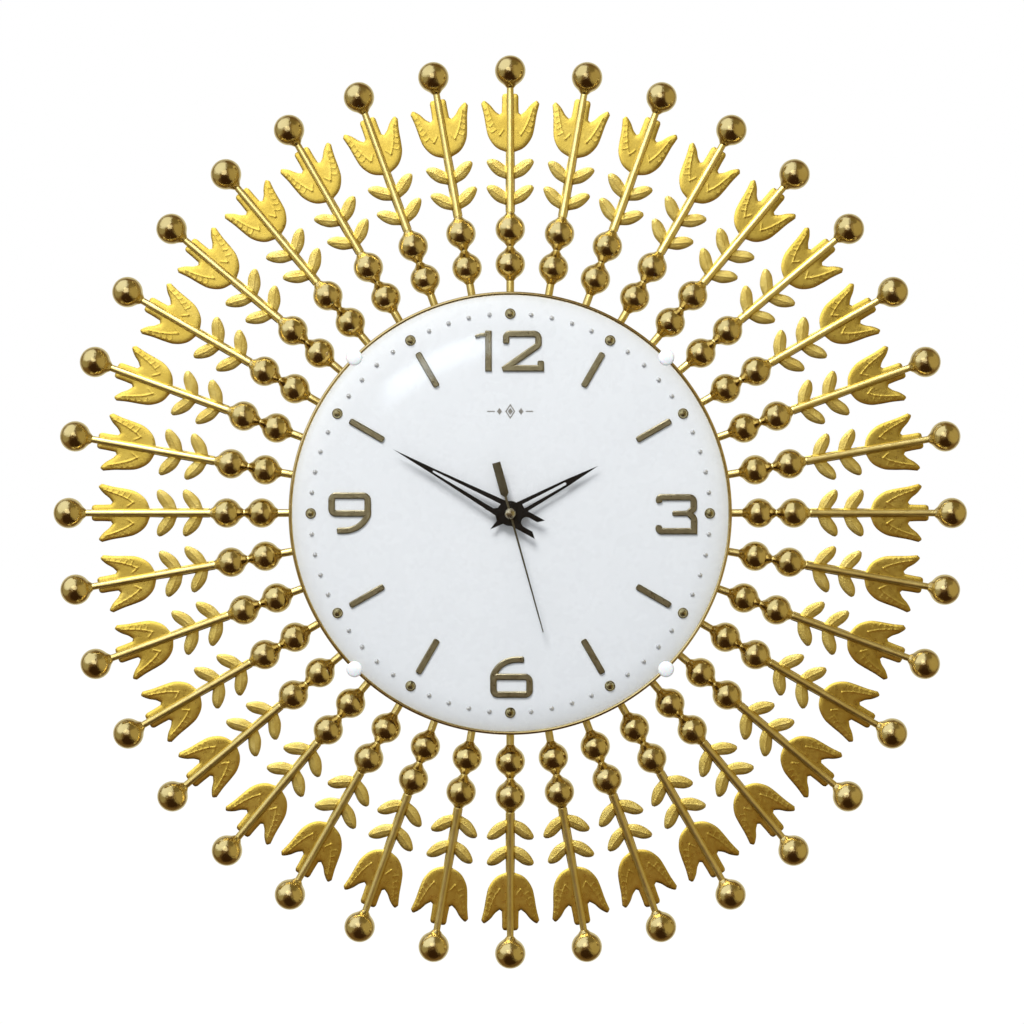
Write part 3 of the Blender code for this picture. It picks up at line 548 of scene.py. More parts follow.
PETAL_RIB = [(7.2, 260.0), (10.0, 264.4), (12.3, 269.4), (14.2, 274.6), (15.7, 279.4)]
PETAL_TICK = [(7.2, 260.0), (4.9, 263.4)]
PETAL_OUTER = [
    (3.0, 248.5), (8.3, 250.7), (12.1, 254.1), (15.2, 259.3), (16.7, 265.3), (18.2, 273.9), (20.1, 281.5),
]
PETAL_INNER = [(18.6, 283.6), (16.9, 283.2), (13.5, 280.4), (10.4, 276.6), (7.4, 274.3)]
LEAFLET_LOW = [(3.2, 212.0), (9.1, 214.4), (13.3, 218.2), (15.9, 222.3), (16.3, 224.2)]
LEAFLET_HIGH = [(15.2, 225.6), (12.4, 225.9), (8.4, 224.7), (3.2, 221.1)]
LEAFLET_RIB = [(3.6, 216.4), (8.5, 219.4), (13.4, 222.9)]
TAB_SIDE = [(5.9, 275.4), (5.7, 281.0), (5.7, 286.6)]
TAB_CORNER = [(5.6, 286.8), (4.8, 288.2), (3.4, 288.6)]


def sprig_outline():
    """Edge of the leaf plate: a stem, two pairs of leaflets and a flower of two petals and a tab."""
    half = [(0.0, PLATE_FOOT), (2.2, PLATE_FOOT), (3.2, PLATE_FOOT + 1.2)]
    for rise in (0.0, LEAFLET_STEP):
        half += flow(shifted(LEAFLET_LOW, rise)) + flow(shifted(LEAFLET_HIGH, rise))
    half += flow(PETAL_OUTER)[:-1] + flow(PETAL_OUTER[-1:] + PETAL_INNER)
    half += flow(TAB_SIDE)[:-1] + flow(TAB_CORNER)
    return mirrored(half + [(0.0, 288.7)])


def petal_veins():
    """Short curved strokes pressed into a petal, outboard of its rib."""
    veins = []
    for i in range(5):
        y = 262.6 + 3.8 * i
        rib, edge = (np.interp(y, *np.array(line)[:, ::-1].T) for line in (PETAL_RIB, PETAL_OUTER))
        middle = (rib + edge) / 2 + 0.2
        veins.append(flow([(rib + 0.9, y + 1.3), (middle + 0.3, y - 0.7), (edge - 1.1, y + 1.2)], 0.5))
    return veins


def gaps(points, path):
    """Distance from each point to the nearest segment of a path."""
    nearest = np.full(len(points), 1e9)
    for a, b in zip(np.array(path[:-1], float), np.array(path[1:], float)):
        along = b - a
        t = np.clip(((points - a) @ along) / max(along @ along, 1e-12), 0, 1)
        nearest = np.minimum(nearest, np.linalg.norm(points - a - t[:, None] * along, axis=1))
    return nearest


def nearest_gap(points, paths):
    return np.minimum.reduce([gaps(points, path) for path in paths])


def along_lines(paths):
    """Points on pressed lines and on both their flanks, so that the sheet's mesh follows them."""
    made = []
    for path in paths:
        line = np.array(path, float)
        run = np.gradient(line, axis=0)
        run /= np.linalg.norm(run, axis=1)[:, None]
        flank = np.column_stack([-run[:, 1], run[:, 0]])
        for offset in (-0.80, -0.38, 0.0, 0.38, 0.80):
            row = (line + flank * offset)[:: 1 if offset == 0.0 else 2]
            made.append(row[nearest_gap(row, paths) > 0.85 * abs(offset) - 1e-6])
    return np.concatenate(made)


def inside(points, outline):
    """Which points lie inside a closed outline, by the even-odd rule."""
    result = np.zeros(len(points), bool)
    corners = np.array(outline, float)
    for a, b in zip(corners, np.roll(corners, -1, axis=0)):
        crosses = (a[1] > points[:, 1]) != (b[1] > points[:, 1])
        rise = b[1] - a[1] if abs(b[1] - a[1]) > 1e-12 else 1e-12
        result ^= crosses & (points[:, 0] < (b[0] - a[0]) * (points[:, 1] - a[1]) / rise + a[0])
    return result


def sprig_points(outline, pressed):
    """Mesh points inside the leaf plate: a grid that makes room for the pressed lines' own points."""
    spacing, half_width, length = 0.84, 21.0, 84.0
    columns, rows = round(half_width / spacing), round(length / spacing)
    grid = np.array([
        (i * spacing, PLATE_FOOT + j * spacing) for i in range(-columns, columns + 1) for j in range(rows)
    ])
    folded = np.abs(grid * [1, 0]) + grid * [0, 1]
    lines = along_lines(pressed)
    grid = np.concatenate([grid[nearest_gap(folded, pressed) > 1.1], lines, lines * [-1, 1]])
    return grid[inside(grid, outline) & (gaps(grid, outline + outline[:1]) > 0.35)]


def sprig_heights(flat, outline, ribs, veins, leaf_ribs):
    """How far the pressed sheet stands out at each point: domed petals and leaflets with raised lines."""
    mirror = np.column_stack([np.abs(flat[:, 0]), flat[:, 1]])
    edge = gaps(flat, outline + outline[:1])
    is_petal = mirror[:, 1] > PETALS_FROM
    height = np.where(is_petal, 0.45 * (1 - np.exp(-edge / 1.1)), 1.0 * (1 - np.exp(-edge / 1.6)))
    for paths, rise, width in ((ribs, 0.12, 0.40), (veins, 0.08, 0.38), (leaf_ribs, 0.16, 0.42)):
        for path in paths:
            height += rise * np.exp(-((gaps(mirror, path) / width) ** 2))
    return height


def sheet_faces(flat, triangles):
    """Faces of a sheet: its front, its back, whose points follow the front's, and the edge between."""
    count = len(flat)
    faces, seen = [], {}
    for triangle in triangles:
        a, b, c = (Vector(flat[i]) for i in triangle)
        corners = list(triangle)
        if (b - a).cross(c - a) < 0:
            corners.reverse()
        faces.append(corners)
        faces.append([i + count for i in reversed(corners)])
        for i, j in zip(corners, corners[1:] + corners[:1]):
            seen[(i, j)] = True
    for i, j in seen:
        if (j, i) not in seen:
            faces.append([j, i, i + count, j + count])
    return faces


def sprig_mesh():
    """Stamped sheet, with the same relief on both faces."""
    outline = sprig_outline()
    ribs = [flow(PETAL_RIB, 0.5), flow(PETAL_TICK, 0.5)]
    leaf_ribs = [flow(shifted(LEAFLET_RIB, rise), 0.5) for rise in (0.0, LEAFLET_STEP)]
    veins = petal_veins()
    points = [Vector(p) for p in outline]
    points += [Vector(p) for p in sprig_points(outline, ribs + veins + leaf_ribs)]
    flat, _, triangles = delaunay_2d_cdt(points, [], [list(range(len(outline)))], 1, 1e-5)[:3]
    flat = np.array([tuple(v) for v in flat])
    height = sprig_heights(flat, outline, ribs, veins, leaf_ribs)
    verts = [
        (x, y, PLATE_Z + h - thick) for thick in (0.0, PLATE_THICK) for (x, y), h in zip(flat, height)
    ]
    mesh = mesh_from(verts, sheet_faces(flat, triangles), 50.0)
    mesh.materials.append(FINISH["stamped_gold"])
    mesh.materials.append(FINISH["hammered_gold"])
    for face in mesh.polygons:
        face.material_index = int(face.center.y < PETALS_FROM * MM and abs(face.center.x) > 3.3 * MM)
    return mesh


# ---------------- rays


def upright(mesh):
    """Lays a turned shape, made along z, along y at the rod's height."""
    return moved(turned(mesh, -pi / 2, "X"), z=ROD_Z)


def rod_mesh():
    """Drawn wire with flattened collars where the balls sit and a crimp under the flower."""
    r, end = ROD_RADIUS, BALLS[-1][1]
    stops = [(RAY_INNER, 0.0), (RAY_INNER, r - 0.4), (RAY_INNER + 0.5, r)]
    stops += [(150.0, r), (151.5, r + 0.2), (160.0, r + 0.2), (161.5, r)]
    stops += [(205.5, r), (206.3, r + 0.25), (208.0, r + 0.25), (208.8, r)]
    stops += [(287.6, r), (288.4, r - 0.15), (end, r - 0.15), (end, 0.0)]
    return upright(lathe([(radius, along) for along, radius in reversed(stops)], 28))


def ball_mesh(centre, radius, open_top):
    """Spun ball drawn out into a short cone round each rod hole."""
    start, neck, length = 32.0, ROD_RADIUS + 0.1, 2.9
    rim, shoulder = polar(radius, start)
    tip = shoulder + length
    foot = [(rim * 0.74, -shoulder - length * 0.38), (neck + 0.7, -tip + 0.8), (neck + 0.1, -tip + 0.15)]
    foot.append((neck, -tip))
    first, steps = (start, 28) if open_top else (0.0, 33)
    profile = [polar(radius, first + (180.0 - start - first) * i / steps) for i in range(steps + 1)]
    if open_top:
        profile = [(0.0, tip)] + [(r, -h) for r, h in reversed(foot)] + profile
    profile += foot + [(0.0, -tip)]
    return upright(lathe(shifted(profile, centre), 56, sharp=60.0))


def make_rays():
    rod, sprig = rod_mesh(), sprig_mesh()
    balls = [(name, ball_mesh(at, radius, name != "outer")) for name, at, radius in BALLS]
    for index, node in enumerate(RAYS):
        turn = index * RAY_TURN
        # The rods take the paler lacquer, whose colour carries a painted sheen.
        piece(f"{node}_rod", rod, "wire_gold", turn=turn, replaces=(node,))
        piece(f"{node}_leaves", sprig, turn=turn)
        for name, mesh in balls:
            piece(f"{node}_{name}_ball", mesh, "polished_gold", turn=turn)


# ---------------- dial


def joints(points, half, closed):
    """(left, right) points of a band along its centre line. A sharp turn's outer corner is cut off."""
    made = []
    count = len(points)
    for i, point in enumerate(points):
        here = Vector(point)
        before = here - Vector(points[i - 1]) if closed or i else None
        after = Vector(points[(i + 1) % count]) - here if closed or i < count - 1 else None
        first = (before or after).normalized()
        second = (after or before).normalized()
        left, next_left = Vector((-first.y, first.x)), Vector((-second.y, second.x))
        mitre = (left + next_left).normalized()
        reach = half / mitre.dot(left)
        if reach < 2.2 * half:
            made.append((here + mitre * reach, here - mitre * reach))
            continue
        side = 1 if first.x * second.y - first.y * second.x > 0 else -1
        inner = here + mitre * reach * side
        outer = here - left * half * side + first * half * 0.75
        next_outer = here - next_left * half * side - second * half * 0.75
        made += [(inner, outer)[::side], (inner, next_outer)[::side]]
    return made


def rounded_end(pair, inward, cap, step):
    """The pairs of points that round off a band's end, from its tip inward or, for step -1, outward."""
    left, right = pair
    across = (right - left).normalized() * cap
    inward = inward.normalized() * cap
    made = []
    for along, narrower in ((0.0, 0.8), (0.3, 0.25), (1.0, 0.0)):
        shift = across * narrower
        made.append((left + inward * along + shift, right + inward * along - shift))
    return made[::step]


def raised_band(points, width=MARKER_WIDTH, drop=0.0, closed=False, cap=0.0):
    """Bar of bevelled section along a line of points, standing on the dial, with mitred corners."""
    bevel = 0.85
    low, high = DIAL_Z - 0.2, DIAL_Z + MARKER_HEIGHT - drop
    pairs = joints(points, width / 2, closed)
    if cap:
        for end, step in ((0, 1), (-1, -1)):
            inward = Vector(points[end + step]) - Vector(points[end])
            pairs[end : end + 1 or None] = rounded_end(pairs[end], inward, cap, step)
    shares = (0.0, 0.0, bevel / width, 1 - bevel / width, 1.0, 1.0)
    heights = (low, high - bevel * 0.75, high, high, high - bevel * 0.75, low)
    verts, faces = [], []
    for i, (left, right) in enumerate(pairs):
        for share, height in zip(shares, heights):
            spot = left.lerp(right, share)
            if not closed and i in (0, len(pairs) - 1) and height == high:
                neighbour = pairs[1] if i == 0 else pairs[-2]
                spot = spot + (neighbour[0] + neighbour[1] - left - right).normalized() * bevel
            verts.append((spot.x, spot.y, height))
    rows, around = len(pairs), len(shares)
    for i in range(rows if closed else rows - 1):
        here, there = i * around, ((i + 1) % rows) * around
        for k in range(around):
            n = (k + 1) % around
            faces.append([here + k, here + n, there + n, there + k])
    if not closed:
        for row, order in ((0, 1), (rows - 1, -1)):
            at = row * around
            faces.append([at, at + 5, at + 4, at + 1][::order])
            faces.append([at + 1, at + 4, at + 3, at + 2][::order])
    return faced_out(mesh_from(verts, faces, 25.0))


def numerals():
    """Bands of 12, 3, 6 and 9, with the 9 as the 6 turned half round. A third number rounds a corner."""
    one = [(-15.0, 97.3), (-15.0, 125.4)]
    flag = [(-15.6, 122.6), (-19.5, 122.4), (-24.0, 121.0)]
    two = [
        (-2.9, 116.3), (-2.9, 123.1, 2.6), (19.3, 123.1, 3.0), (19.3, 115.4, 2.6),
        (-3.4, 99.5, 0), (20.9, 99.5, 0), (20.9, 104.8),
    ]
    three = [
        (102.5, 7.0), (101.8, 11.0, 2.4), (125.9, 11.0, 3.0), (125.9, 3.2, 2.4), (122.4, 0.1, 0),
        (126.1, -3.4, 2.4), (126.1, -12.3, 0.0), (101.8, -12.3, 2.4), (102.1, -8.0),
    ]
    bar = [(111.2, -0.2), (122.8, 0.0)]
    loop = rounded(box_outline((-12.4, 12.4), (12.6, 0.4)), 3.2, closed=True)
    tail = flow([(-12.4, 4.0), (-12.2, -1.6), (-7.4, -8.0), (0.0, -11.4), (8.8, -11.9)], 1.6)
    bands = {
        "numeral_12": [
            raised_band(one),
            raised_band(flag, 2.8, 0.15, cap=0.8),
            raised_band(rounded(two, 0), cap=1.2),
        ],
        "numeral_3": [
            raised_band(rounded(three, 0), cap=1.4),
            raised_band(bar, 3.8, 0.15, cap=1.4),
        ],
    }
    for name, (x, y), turn in (("numeral_6", (0.8, -112.2), 1.0), ("numeral_9", (-110.3, -0.3), -1.0)):
        ring = [(x + turn * a, y + turn * (b - 12.8)) for a, b in loop]
        curl = [(x + turn * a, y + turn * (-b - 0.2)) for a, b in tail]
        bands[name] = [raised_band(ring, closed=True), raised_band(curl, 4.4, 0.12, cap=1.3)]
    return bands


def make_dial():
    r, z = DIAL_RADIUS, DIAL_Z
    profile = [(r - 0.5, z), (r - 0.1, z - 0.15), (r, z - 0.5), (r, DIAL_BACK), (4.8, DIAL_BACK), (4.8, z)]
    profile += [(40.0, z), (90.0, z), (130.0, z)]
    face = lathe(profile, 240, closed=True)
    piece("dial_face", face, "dial_white", replaces=("dial_plate",))
    for name, bands in numerals().items():
        piece(name, joined(bands), "marker_bronze")
    for hour in (1, 2, 4, 5, 7, 8, 10, 11):
        name = f"hour_bar_{hour}"
        bar = raised_band([(0, 100.2), (0, 127.2)], cap=1.5)
        piece(name, bar, "marker_bronze", turn=30.0 * hour)
    setting = [(0, 0.4), (3.1, 0.4), (3.3, 0.65), (3.6, 0.45), (3.65, -0.1), (0, -0.1)]
    stone = [(0, 2.3), (1.2, 2.2), (2.3, 1.7), (3.1, 0.8), (3.0, 0.3), (0, 0.3)]
    dot = [(0, 1.1), (0.7, 1.0), (1.3, 0.75), (1.65, 0.25), (1.7, -0.1), (0, -0.1)]
    for hour in range(12):
        at = polar(DOT_RADIUS_AT, 30 * hour)
        mesh = lathe(shifted(setting, z), 28)
        piece(f"gem_setting_{hour}", mesh, "gem_gold", at=at)
        mesh = lathe(shifted(stone, z), 9, sharp=5.0)
        piece(f"gem_{hour}", mesh, "gem_gold", at=at, turn=11.0 * hour)
    dots = [
        moved(lathe(shifted(dot, z), 16, sharp=60.0), *polar(DOT_RADIUS_AT, 6 * minute))
        for minute in range(60) if minute % 5
    ]
    piece("minute_dots", joined(dots), "dot_silver")
    make_ornament()


def make_ornament():
    """Plain printed lozenges under the 12."""
    low, high = DIAL_Z - 0.05, DIAL_Z + 0.12
    lozenge = [(0, 5.2), (3.4, 0), (0, -5.2), (-3.4, 0)]
    inner = [(x * 0.72, y * 0.72) for x, y in lozenge]
    small = [(0, 2.4), (1.7, 0), (0, -2.4), (-1.7, 0)]
    parts = [moved(plate([lozenge, inner], low, high), 0, ORNAMENT_Y)]
    parts += [moved(plate([small], low, high), x, ORNAMENT_Y) for x in (-7.4, 0, 7.4)]
    for x in (-13.2, 13.2):
        parts.append(moved(block((-2.6, 2.6), (-0.35, 0.35), (low, high), 0.02), x, ORNAMENT_Y))
    piece("dial_ornament", joined(parts), "print_grey")


# ---------------- case and glass


def make_case():
    """Case ring with a rolled lip, the domed glass, and four pads on the lip. None casts a shadow."""
    r, back, front = CASE_RADIUS, CASE_BACK, CASE_FRONT
    profile = arc(1.25, 0, 180, 10, (r - 1.25, front - 1.25))[::-1]
    profile += [(r, back + 1.0), (r - 0.3, back + 0.3), (r - 1.0, back), (126.3, back), (126.0, back + 0.3)]
    profile += [(126.0, back + 1.2), (r - 1.6, back + 1.2), (r - 1.5, front - 2.0), (r - 2.4, front - 1.7)]
    ring = lathe(profile, 240, closed=True)
    piece("case_ring", ring, "bezel_gold", replaces=("bezel_ring",)).visible_shadow = False
    mesh = lathe(glass_profile(), 192, sharp=40.0)
    piece("glass_dome", mesh, "clear_glass", replaces=("glass_lens",)).visible_shadow = False
    bumper = [(0, 2.4), (4.2, 2.3), (5.1, 1.8), (5.5, 0.9), (5.3, 0.0), (0, 0.0)]
    for index in range(4):
        name, at = f"rim_bumper_{index + 1}", polar(r - 1.0, 45 + 90 * index)
        mesh = moved(lathe(bumper, 32, sharp=60.0), z=front - 0.1)
        piece(name, mesh, "pad_silicone", at=at).visible_shadow = False


def glass_profile():
    """Outside of the dome, its ground edge, and its inside."""
    edge, top, thick, steps = GLASS_EDGE_Z, GLASS_TOP_Z, 2.0, 28

    def bow(radius, foot, crown):
        angles = [pi / 2 * i / steps for i in range(steps + 1)]
        return [
            (radius * sin(a) ** 0.9, foot + (crown - foot) * max(cos(a), 0.0) ** 0.9) for a in angles
        ]

    rim = [(GLASS_RADIUS, edge + thick - 0.6), (GLASS_RADIUS, edge)]
    return bow(GLASS_RADIUS - 0.6, edge + thick, top) + rim + bow(GLASS_RADIUS - 2.6, edge, top - thick)[::-1]


# ---------------- hands


def hour_outlines():
    """Slotted blade with a forked tail that leans to one side, and its slot."""
    blade = [(4.6, 7.3), (2.4, 44.0), (0.0, 68.9), (-2.4, 44.0), (-4.6, 7.3)]
    lean = Matrix.Rotation(radians(-14.0), 2)
    tail = mirrored([(5.6, -6.3), (7.2, -16.2), (2.6, -10.2)])
    tail = [tuple(lean @ Vector(point)) for point in reversed(tail)]
    left, right = arc(HAND_HUB_RADIUS, 122, 215, 10), arc(HAND_HUB_RADIUS, -40, 58, 10)
    slot = [(1.6, 10.2), (0.9, 43.0), (0.0, 43.8), (-0.9, 43.0), (-1.6, 10.2)]
    return [blade + left + tail + right, rounded(slot, 0.4, closed=True, steps=2)]


def minute_outlines():
    """Slotted blade with a forked tail, and its slot."""
    blade = [(6.3, 5.8), (1.95, 60.6), (0.0, 91.9), (-1.95, 60.6), (-6.3, 5.8)]
    prong = [(7.2, -4.7), (7.2, -23.2), (3.6, -19.2)]
    tail = prong + arc(3.6, 0, 180, 10, (0.0, -12.6)) + [(-x, y) for x, y in reversed(prong)]
    left, right = arc(HAND_HUB_RADIUS, 137, 213, 8), arc(HAND_HUB_RADIUS, -33, 43, 8)
    slot = [(2.5, 8.9), (0.6, 60.0), (0.0, 60.6), (-0.6, 60.0), (-2.5, 8.9), (0.0, 9.3)]
    return [blade + left + tail[::-1] + right, slot]


def make_hands():
    hands = ("hour_hand", hour_outlines(), 2.5), ("minute_hand", minute_outlines(), 1.4)
    for name, outlines, bore in hands:
        mesh = plate(outlines + [circle(bore, 24)], *level(name), 0.14, 1, 30.0)
        body, turn = f"{name}_assembly", HAND_ANGLES[name]
        piece(name + "_blade", mesh, "hand_black", body, (name,), turn=turn)
    low, top = level("second_hand")
    low += 0.3
    body, turn = "second_hand_assembly", HAND_ANGLES["second_hand"]
    needle = mirrored([(0.9, -14.6), (0.75, 3.0), (0.38, 84.5)])
    mesh = plate([needle], low, low + 0.5, 0.1, 1, 30.0)
    piece("second_needle", mesh, "hand_bronze", body, ("second_hand",), turn=turn)
    paddle = [(-2.9, -36.2), (2.9, -36.2), (2.9, -14.4), (1.0, -12.0), (-1.0, -12.0), (-2.9, -14.4)]
    mesh = plate([rounded(paddle, 0.5, True)], low + 0.05, low + 0.7, 0.2, 1, 30.0)
    piece("second_paddle", mesh, "hand_bronze", body, turn=turn)
    cap = [(0, 0), (1.4, -0.12), (2.6, -0.5), (3.4, -1.1), (3.85, -1.9), (3.85, -2.5), (0, -2.5)]
    mesh = lathe(shifted(cap, top), 48, sharp=50.0)
    piece("second_cap", mesh, "cap_silver", body, turn=turn)


# ---------------- hoop, welds and hanger


def bead(draw, x, y, z, long, wide, high, turn=0.0):
    """Lump of braze metal, longer along y before its turn, and uneven as it froze."""
    shape = bmesh.new()
    bmesh.ops.create_icosphere(shape, subdivisions=2, radius=1.0)
    for vert in shape.verts:
        vert.co *= 1 + draw.uniform(-0.10, 0.10)
        vert.co = Vector((vert.co.x * wide, vert.co.y * long, vert.co.z * high)) * MM
    mesh = bpy.data.meshes.new("bead")
    shape.to_mesh(mesh)
    shape.free()
    mesh.shade_smooth()
    return moved(mesh, x, y, z, turn)


def make_frame():
    """Hoop with its weld seam, the braze that holds the rods and leaf plates, and the hanger."""
    r, front = radius_of("frame_ring"), level("frame_ring")[1]
    inner, flange, lip = r - 3.0, front - 2.6, 120.0
    profile = [
        (r - 0.5, front), (r, front - 0.5), (r, 0.4), (r - 0.4, 0.0), (inner + 0.4, 0.0), (inner, 0.4),
        (inner, flange - 0.6), (inner - 0.6, flange), (lip + 0.4, flange), (lip, flange + 0.4),
        (lip, front - 0.4), (lip + 0.4, front),
    ]
    hoop = lathe(profile, 240, closed=True)
    piece("hoop", hoop, "gold_paint", replaces=("frame_ring",))
    draw = random.Random(7)
    welds = {"rod_welds": [], "plate_welds": [], "case_welds": []}
    for index in range(len(RAYS)):
        turn = index * RAY_TURN
        for across in (-ROD_RADIUS, ROD_RADIUS):
            spots = [("rod_welds", at, across, front + 0.7, 3.0, 1.2, 1.1) for at in (125.0, 138.5)]
            for at in (212.0, 231.0, 256.0, 284.0):
                spots.append(("plate_welds", at, across * 0.9, PLATE_Z - 0.4, 2.6, 1.0, 0.9))
            if index % 3 == 1:
                spots.append(("case_welds", 147.0, across, CASE_BACK - 0.5, 2.6, 1.1, 1.0))
            for name, at, sideways, *rest in spots:
                welds[name].append(bead(draw, *polar(at, turn, sideways), *rest, turn))
    seam = [bead(draw, r - 1.5, 0, z, 0.8, 1.9, 0.75) for z in (0.7, 2.0, 3.3, 4.6, 5.9, 7.2, 8.5, 9.8)]
    for name, beads in welds.items():
        piece(name, joined(beads), "brazed_gold")
    piece("hoop_seam", moved(joined(seam), turn=-97.0), "brazed_gold")
    make_hanger(draw)


def make_hanger(draw):
    """Stamped keyhole plate with a bead pressed round the hole, brazed to the inside of the hoop."""
    low, high = level("hanger")
    hole, slot = 4.5, 2.3
    start = degrees(asin(slot / hole))
    keyhole = arc(hole, 90 - start, -270 + start, 28, KEYHOLE) + arc(slot, 180, 0, 12, SLOT_TOP)
    edge = [(-17, 114.5, 2.5), (17, 114.5, 2.5), (17, 134.0, 1.5), (14, 137.4, 1.5)]
    edge += [(-14, 137.4, 1.5), (-17, 134.0, 1.5)]
    parts = [plate([rounded(edge, 0, closed=True), keyhole], low, high, 0.25, 2)]
    rim = arc(hole + 2.1, 70, -250, 30, KEYHOLE) + arc(slot + 2.3, 180, 0, 12, SLOT_TOP)
    parts.append(tube([(x, y, low + 0.1) for x, y in rim], 0.5, cyclic=True))
    dimple = [(0, -0.1), (1.4, -0.35), (2.0, -0.3), (1.9, -0.1), (1.2, 0.25), (0, 0.35)]
    parts += [moved(lathe(shifted(dimple, low), 24), x, 132.8) for x in (-11.5, 11.5)]
    piece("hanger_plate", joined(parts), "bright_steel", replaces=("hanger",))
    middle = (low + high) / 2
    beads = [bead(draw, x, 137.9, middle, 1.5, 1.7, 1.2) for x in (-12.0, -9.4, -6.8, 6.8, 9.4, 12.0)]
    piece("hanger_welds", joined(beads), "brazed_gold")


# ---------------- movement


def make_battery():
    """AA cell: a shrunk sleeve in two colours over a steel can with a button and a flat end."""
    low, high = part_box("battery")
    r, end = (high.z - low.z) / 2 / MM, (high.x - low.x) / 2 / MM
    crown, split = end - 1.2, 11.0
    dark = [(r - 0.4, split + 0.1), (r, split), (r, -end + 0.6), (r - 0.25, -end + 0.2)]
    dark.append((r - 0.9, -end + 0.25))
    light = [(r - 1.1, crown - 0.5), (r - 1.0, crown - 0.15), (r - 0.3, crown - 0.1), (r, crown - 0.5)]
    light += [(r - 0.01, split + 0.1), (r - 0.4, split - 0.1)]
    can = [(0, end), (2.2, end), (2.55, end - 0.3), (2.6, crown - 0.1), (r - 1.0, crown - 0.35)]
    can += [(r - 0.8, crown - 0.7), (r - 0.8, -end + 0.5), (r - 1.4, -end), (0, -end)]
    parts = (
        ("battery_sleeve", dark, "battery_sleeve", "sleeve_graphite", ()),
        ("battery_band", light, "battery_sleeve", "sleeve_copper", ()),
        ("battery_can", can, "steel", "bright_steel", ("battery",)),
    )
    centre = Matrix.Translation((0, (low.z + high.z) / 2, WALL - (low.y + high.y) / 2))
    for name, profile, slot, finish_name, replaces in parts:
        mesh = turned(lathe(profile, 64, sharp=40.0), pi / 2, "Y")
        mesh.transform(centre)
        piece(name, mesh, finish_name, replaces=replaces)


def make_contacts():
    """Conical spring at the battery's flat end and a sprung tongue at its button."""
    low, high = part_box("battery")
    y, z = (low.z + high.z) / 2 / MM, (WALL - (low.y + high.y) / 2) / MM
    turns, steps = 3.5, 90
    path = []
    for share in (i / steps for i in range(steps + 1)):
        angle, radius = 2 * pi * turns * share, 4.6 - 2.6 * share
        along = low.x / MM - 1.1 + 0.75 * share
        path.append((along, y + radius * cos(angle), z + radius * sin(angle)))
    piece("contact_spring", tube(path, 0.28), "bright_steel")
    outline = rounded(box_outline((-4, 4), (-4.6, 4.6)), 1.0, True)
    tongue = turned(plate([outline], 0, 0.35, 0.1), pi / 2, "Y")
    piece("contact_tongue", moved(tongue, high.x / MM + 0.8, y, z), "bright_steel")


def knob_marks(knob, back):
    """Moulded ring round the knob's hole, and two bowed arrows beside it."""
    low, high = back - 0.35, back + 0.1
    ring = [(7.9, 0.2), (7.9, -0.7), (7.6, -1.0), (7.0, -1.0), (6.8, -0.7), (6.8, 0.2)]
    parts = [moved(lathe(shifted(ring, back), 64, closed=True), *knob)]
    for start in (28.0, 118.0):
        bow = arc(10.2, start, start + 34.0, 12, knob) + arc(9.2, start + 34.0, start, 12, knob)
        parts.append(plate([bow], low, high, 0.08))
    for angle, sign in ((28.0, -1), (152.0, 1)):
        tip = on_circle(9.7, angle + sign * 12, knob)
        sides = [on_circle(11.6, angle, knob), on_circle(8.2, angle, knob)][::sign]
        parts.append(plate([[tip] + sides], low, high, 0.08))
    return parts


def make_cover_details():
    """Mouldings on the movement's back: window rim, knob ring, arrows, ribs, clips and polarity marks."""
    back, half = level("movement_cover")[0], radius_of("movement_cover")
    outer = rounded(box_outline((-27.3, 27.3), (-27.3, -10.3)), 2.0, True)
    hole = rounded(box_outline((-26.3, 26.3), (-26.6, -11.2)), 1.2, True)
    parts = [plate([outer, hole], back - 0.6, back + 0.2, 0.15, 2)]
    parts += knob_marks(place_of("setting_knob_spin"), back)
    for x in (-19.0, -16.0, -13.0, 19.0, 22.0):
        parts.append(block((x - 0.6, x + 0.6), (-6.5, 4.5), (back - 0.4, back + 0.1), 0.15))
    plus = ((20.6, 23.8), (-8.5, -7.8)), ((21.85, 22.55), (-9.75, -6.55))
    minus = (-23.8, -20.6), (-8.5, -7.8)
    for x, y in (*plus, minus):
        parts.append(block(x, y, (back - 0.3, back + 0.1), 0.08))
    boss = [(0, -0.2), (1.0, -0.2), (1.2, -0.6), (2.1, -0.6), (2.4, -0.3), (2.4, 0.2)]
    for x in (-24.5, 24.5):
        for y in (-5.0, 24.5):
            parts.append(moved(lathe(shifted(boss, back), 32), x, y))
    clip = [(-0.1, 0.4), (0.9, 0.6), (1.1, 3.8), (0.4, 5.6), (-0.05, 5.6)]
    for side in (-1, 1):
        outline = [(side * (half + x), back + z) for x, z in clip][::side]
        for y in (-14.0, 14.0):
            parts.append(moved(turned(plate([outline], -3.2, 3.2, 0.2, 2), pi / 2, "X"), 0, y))
    piece("cover_mouldings", joined(parts), "moulded_black")


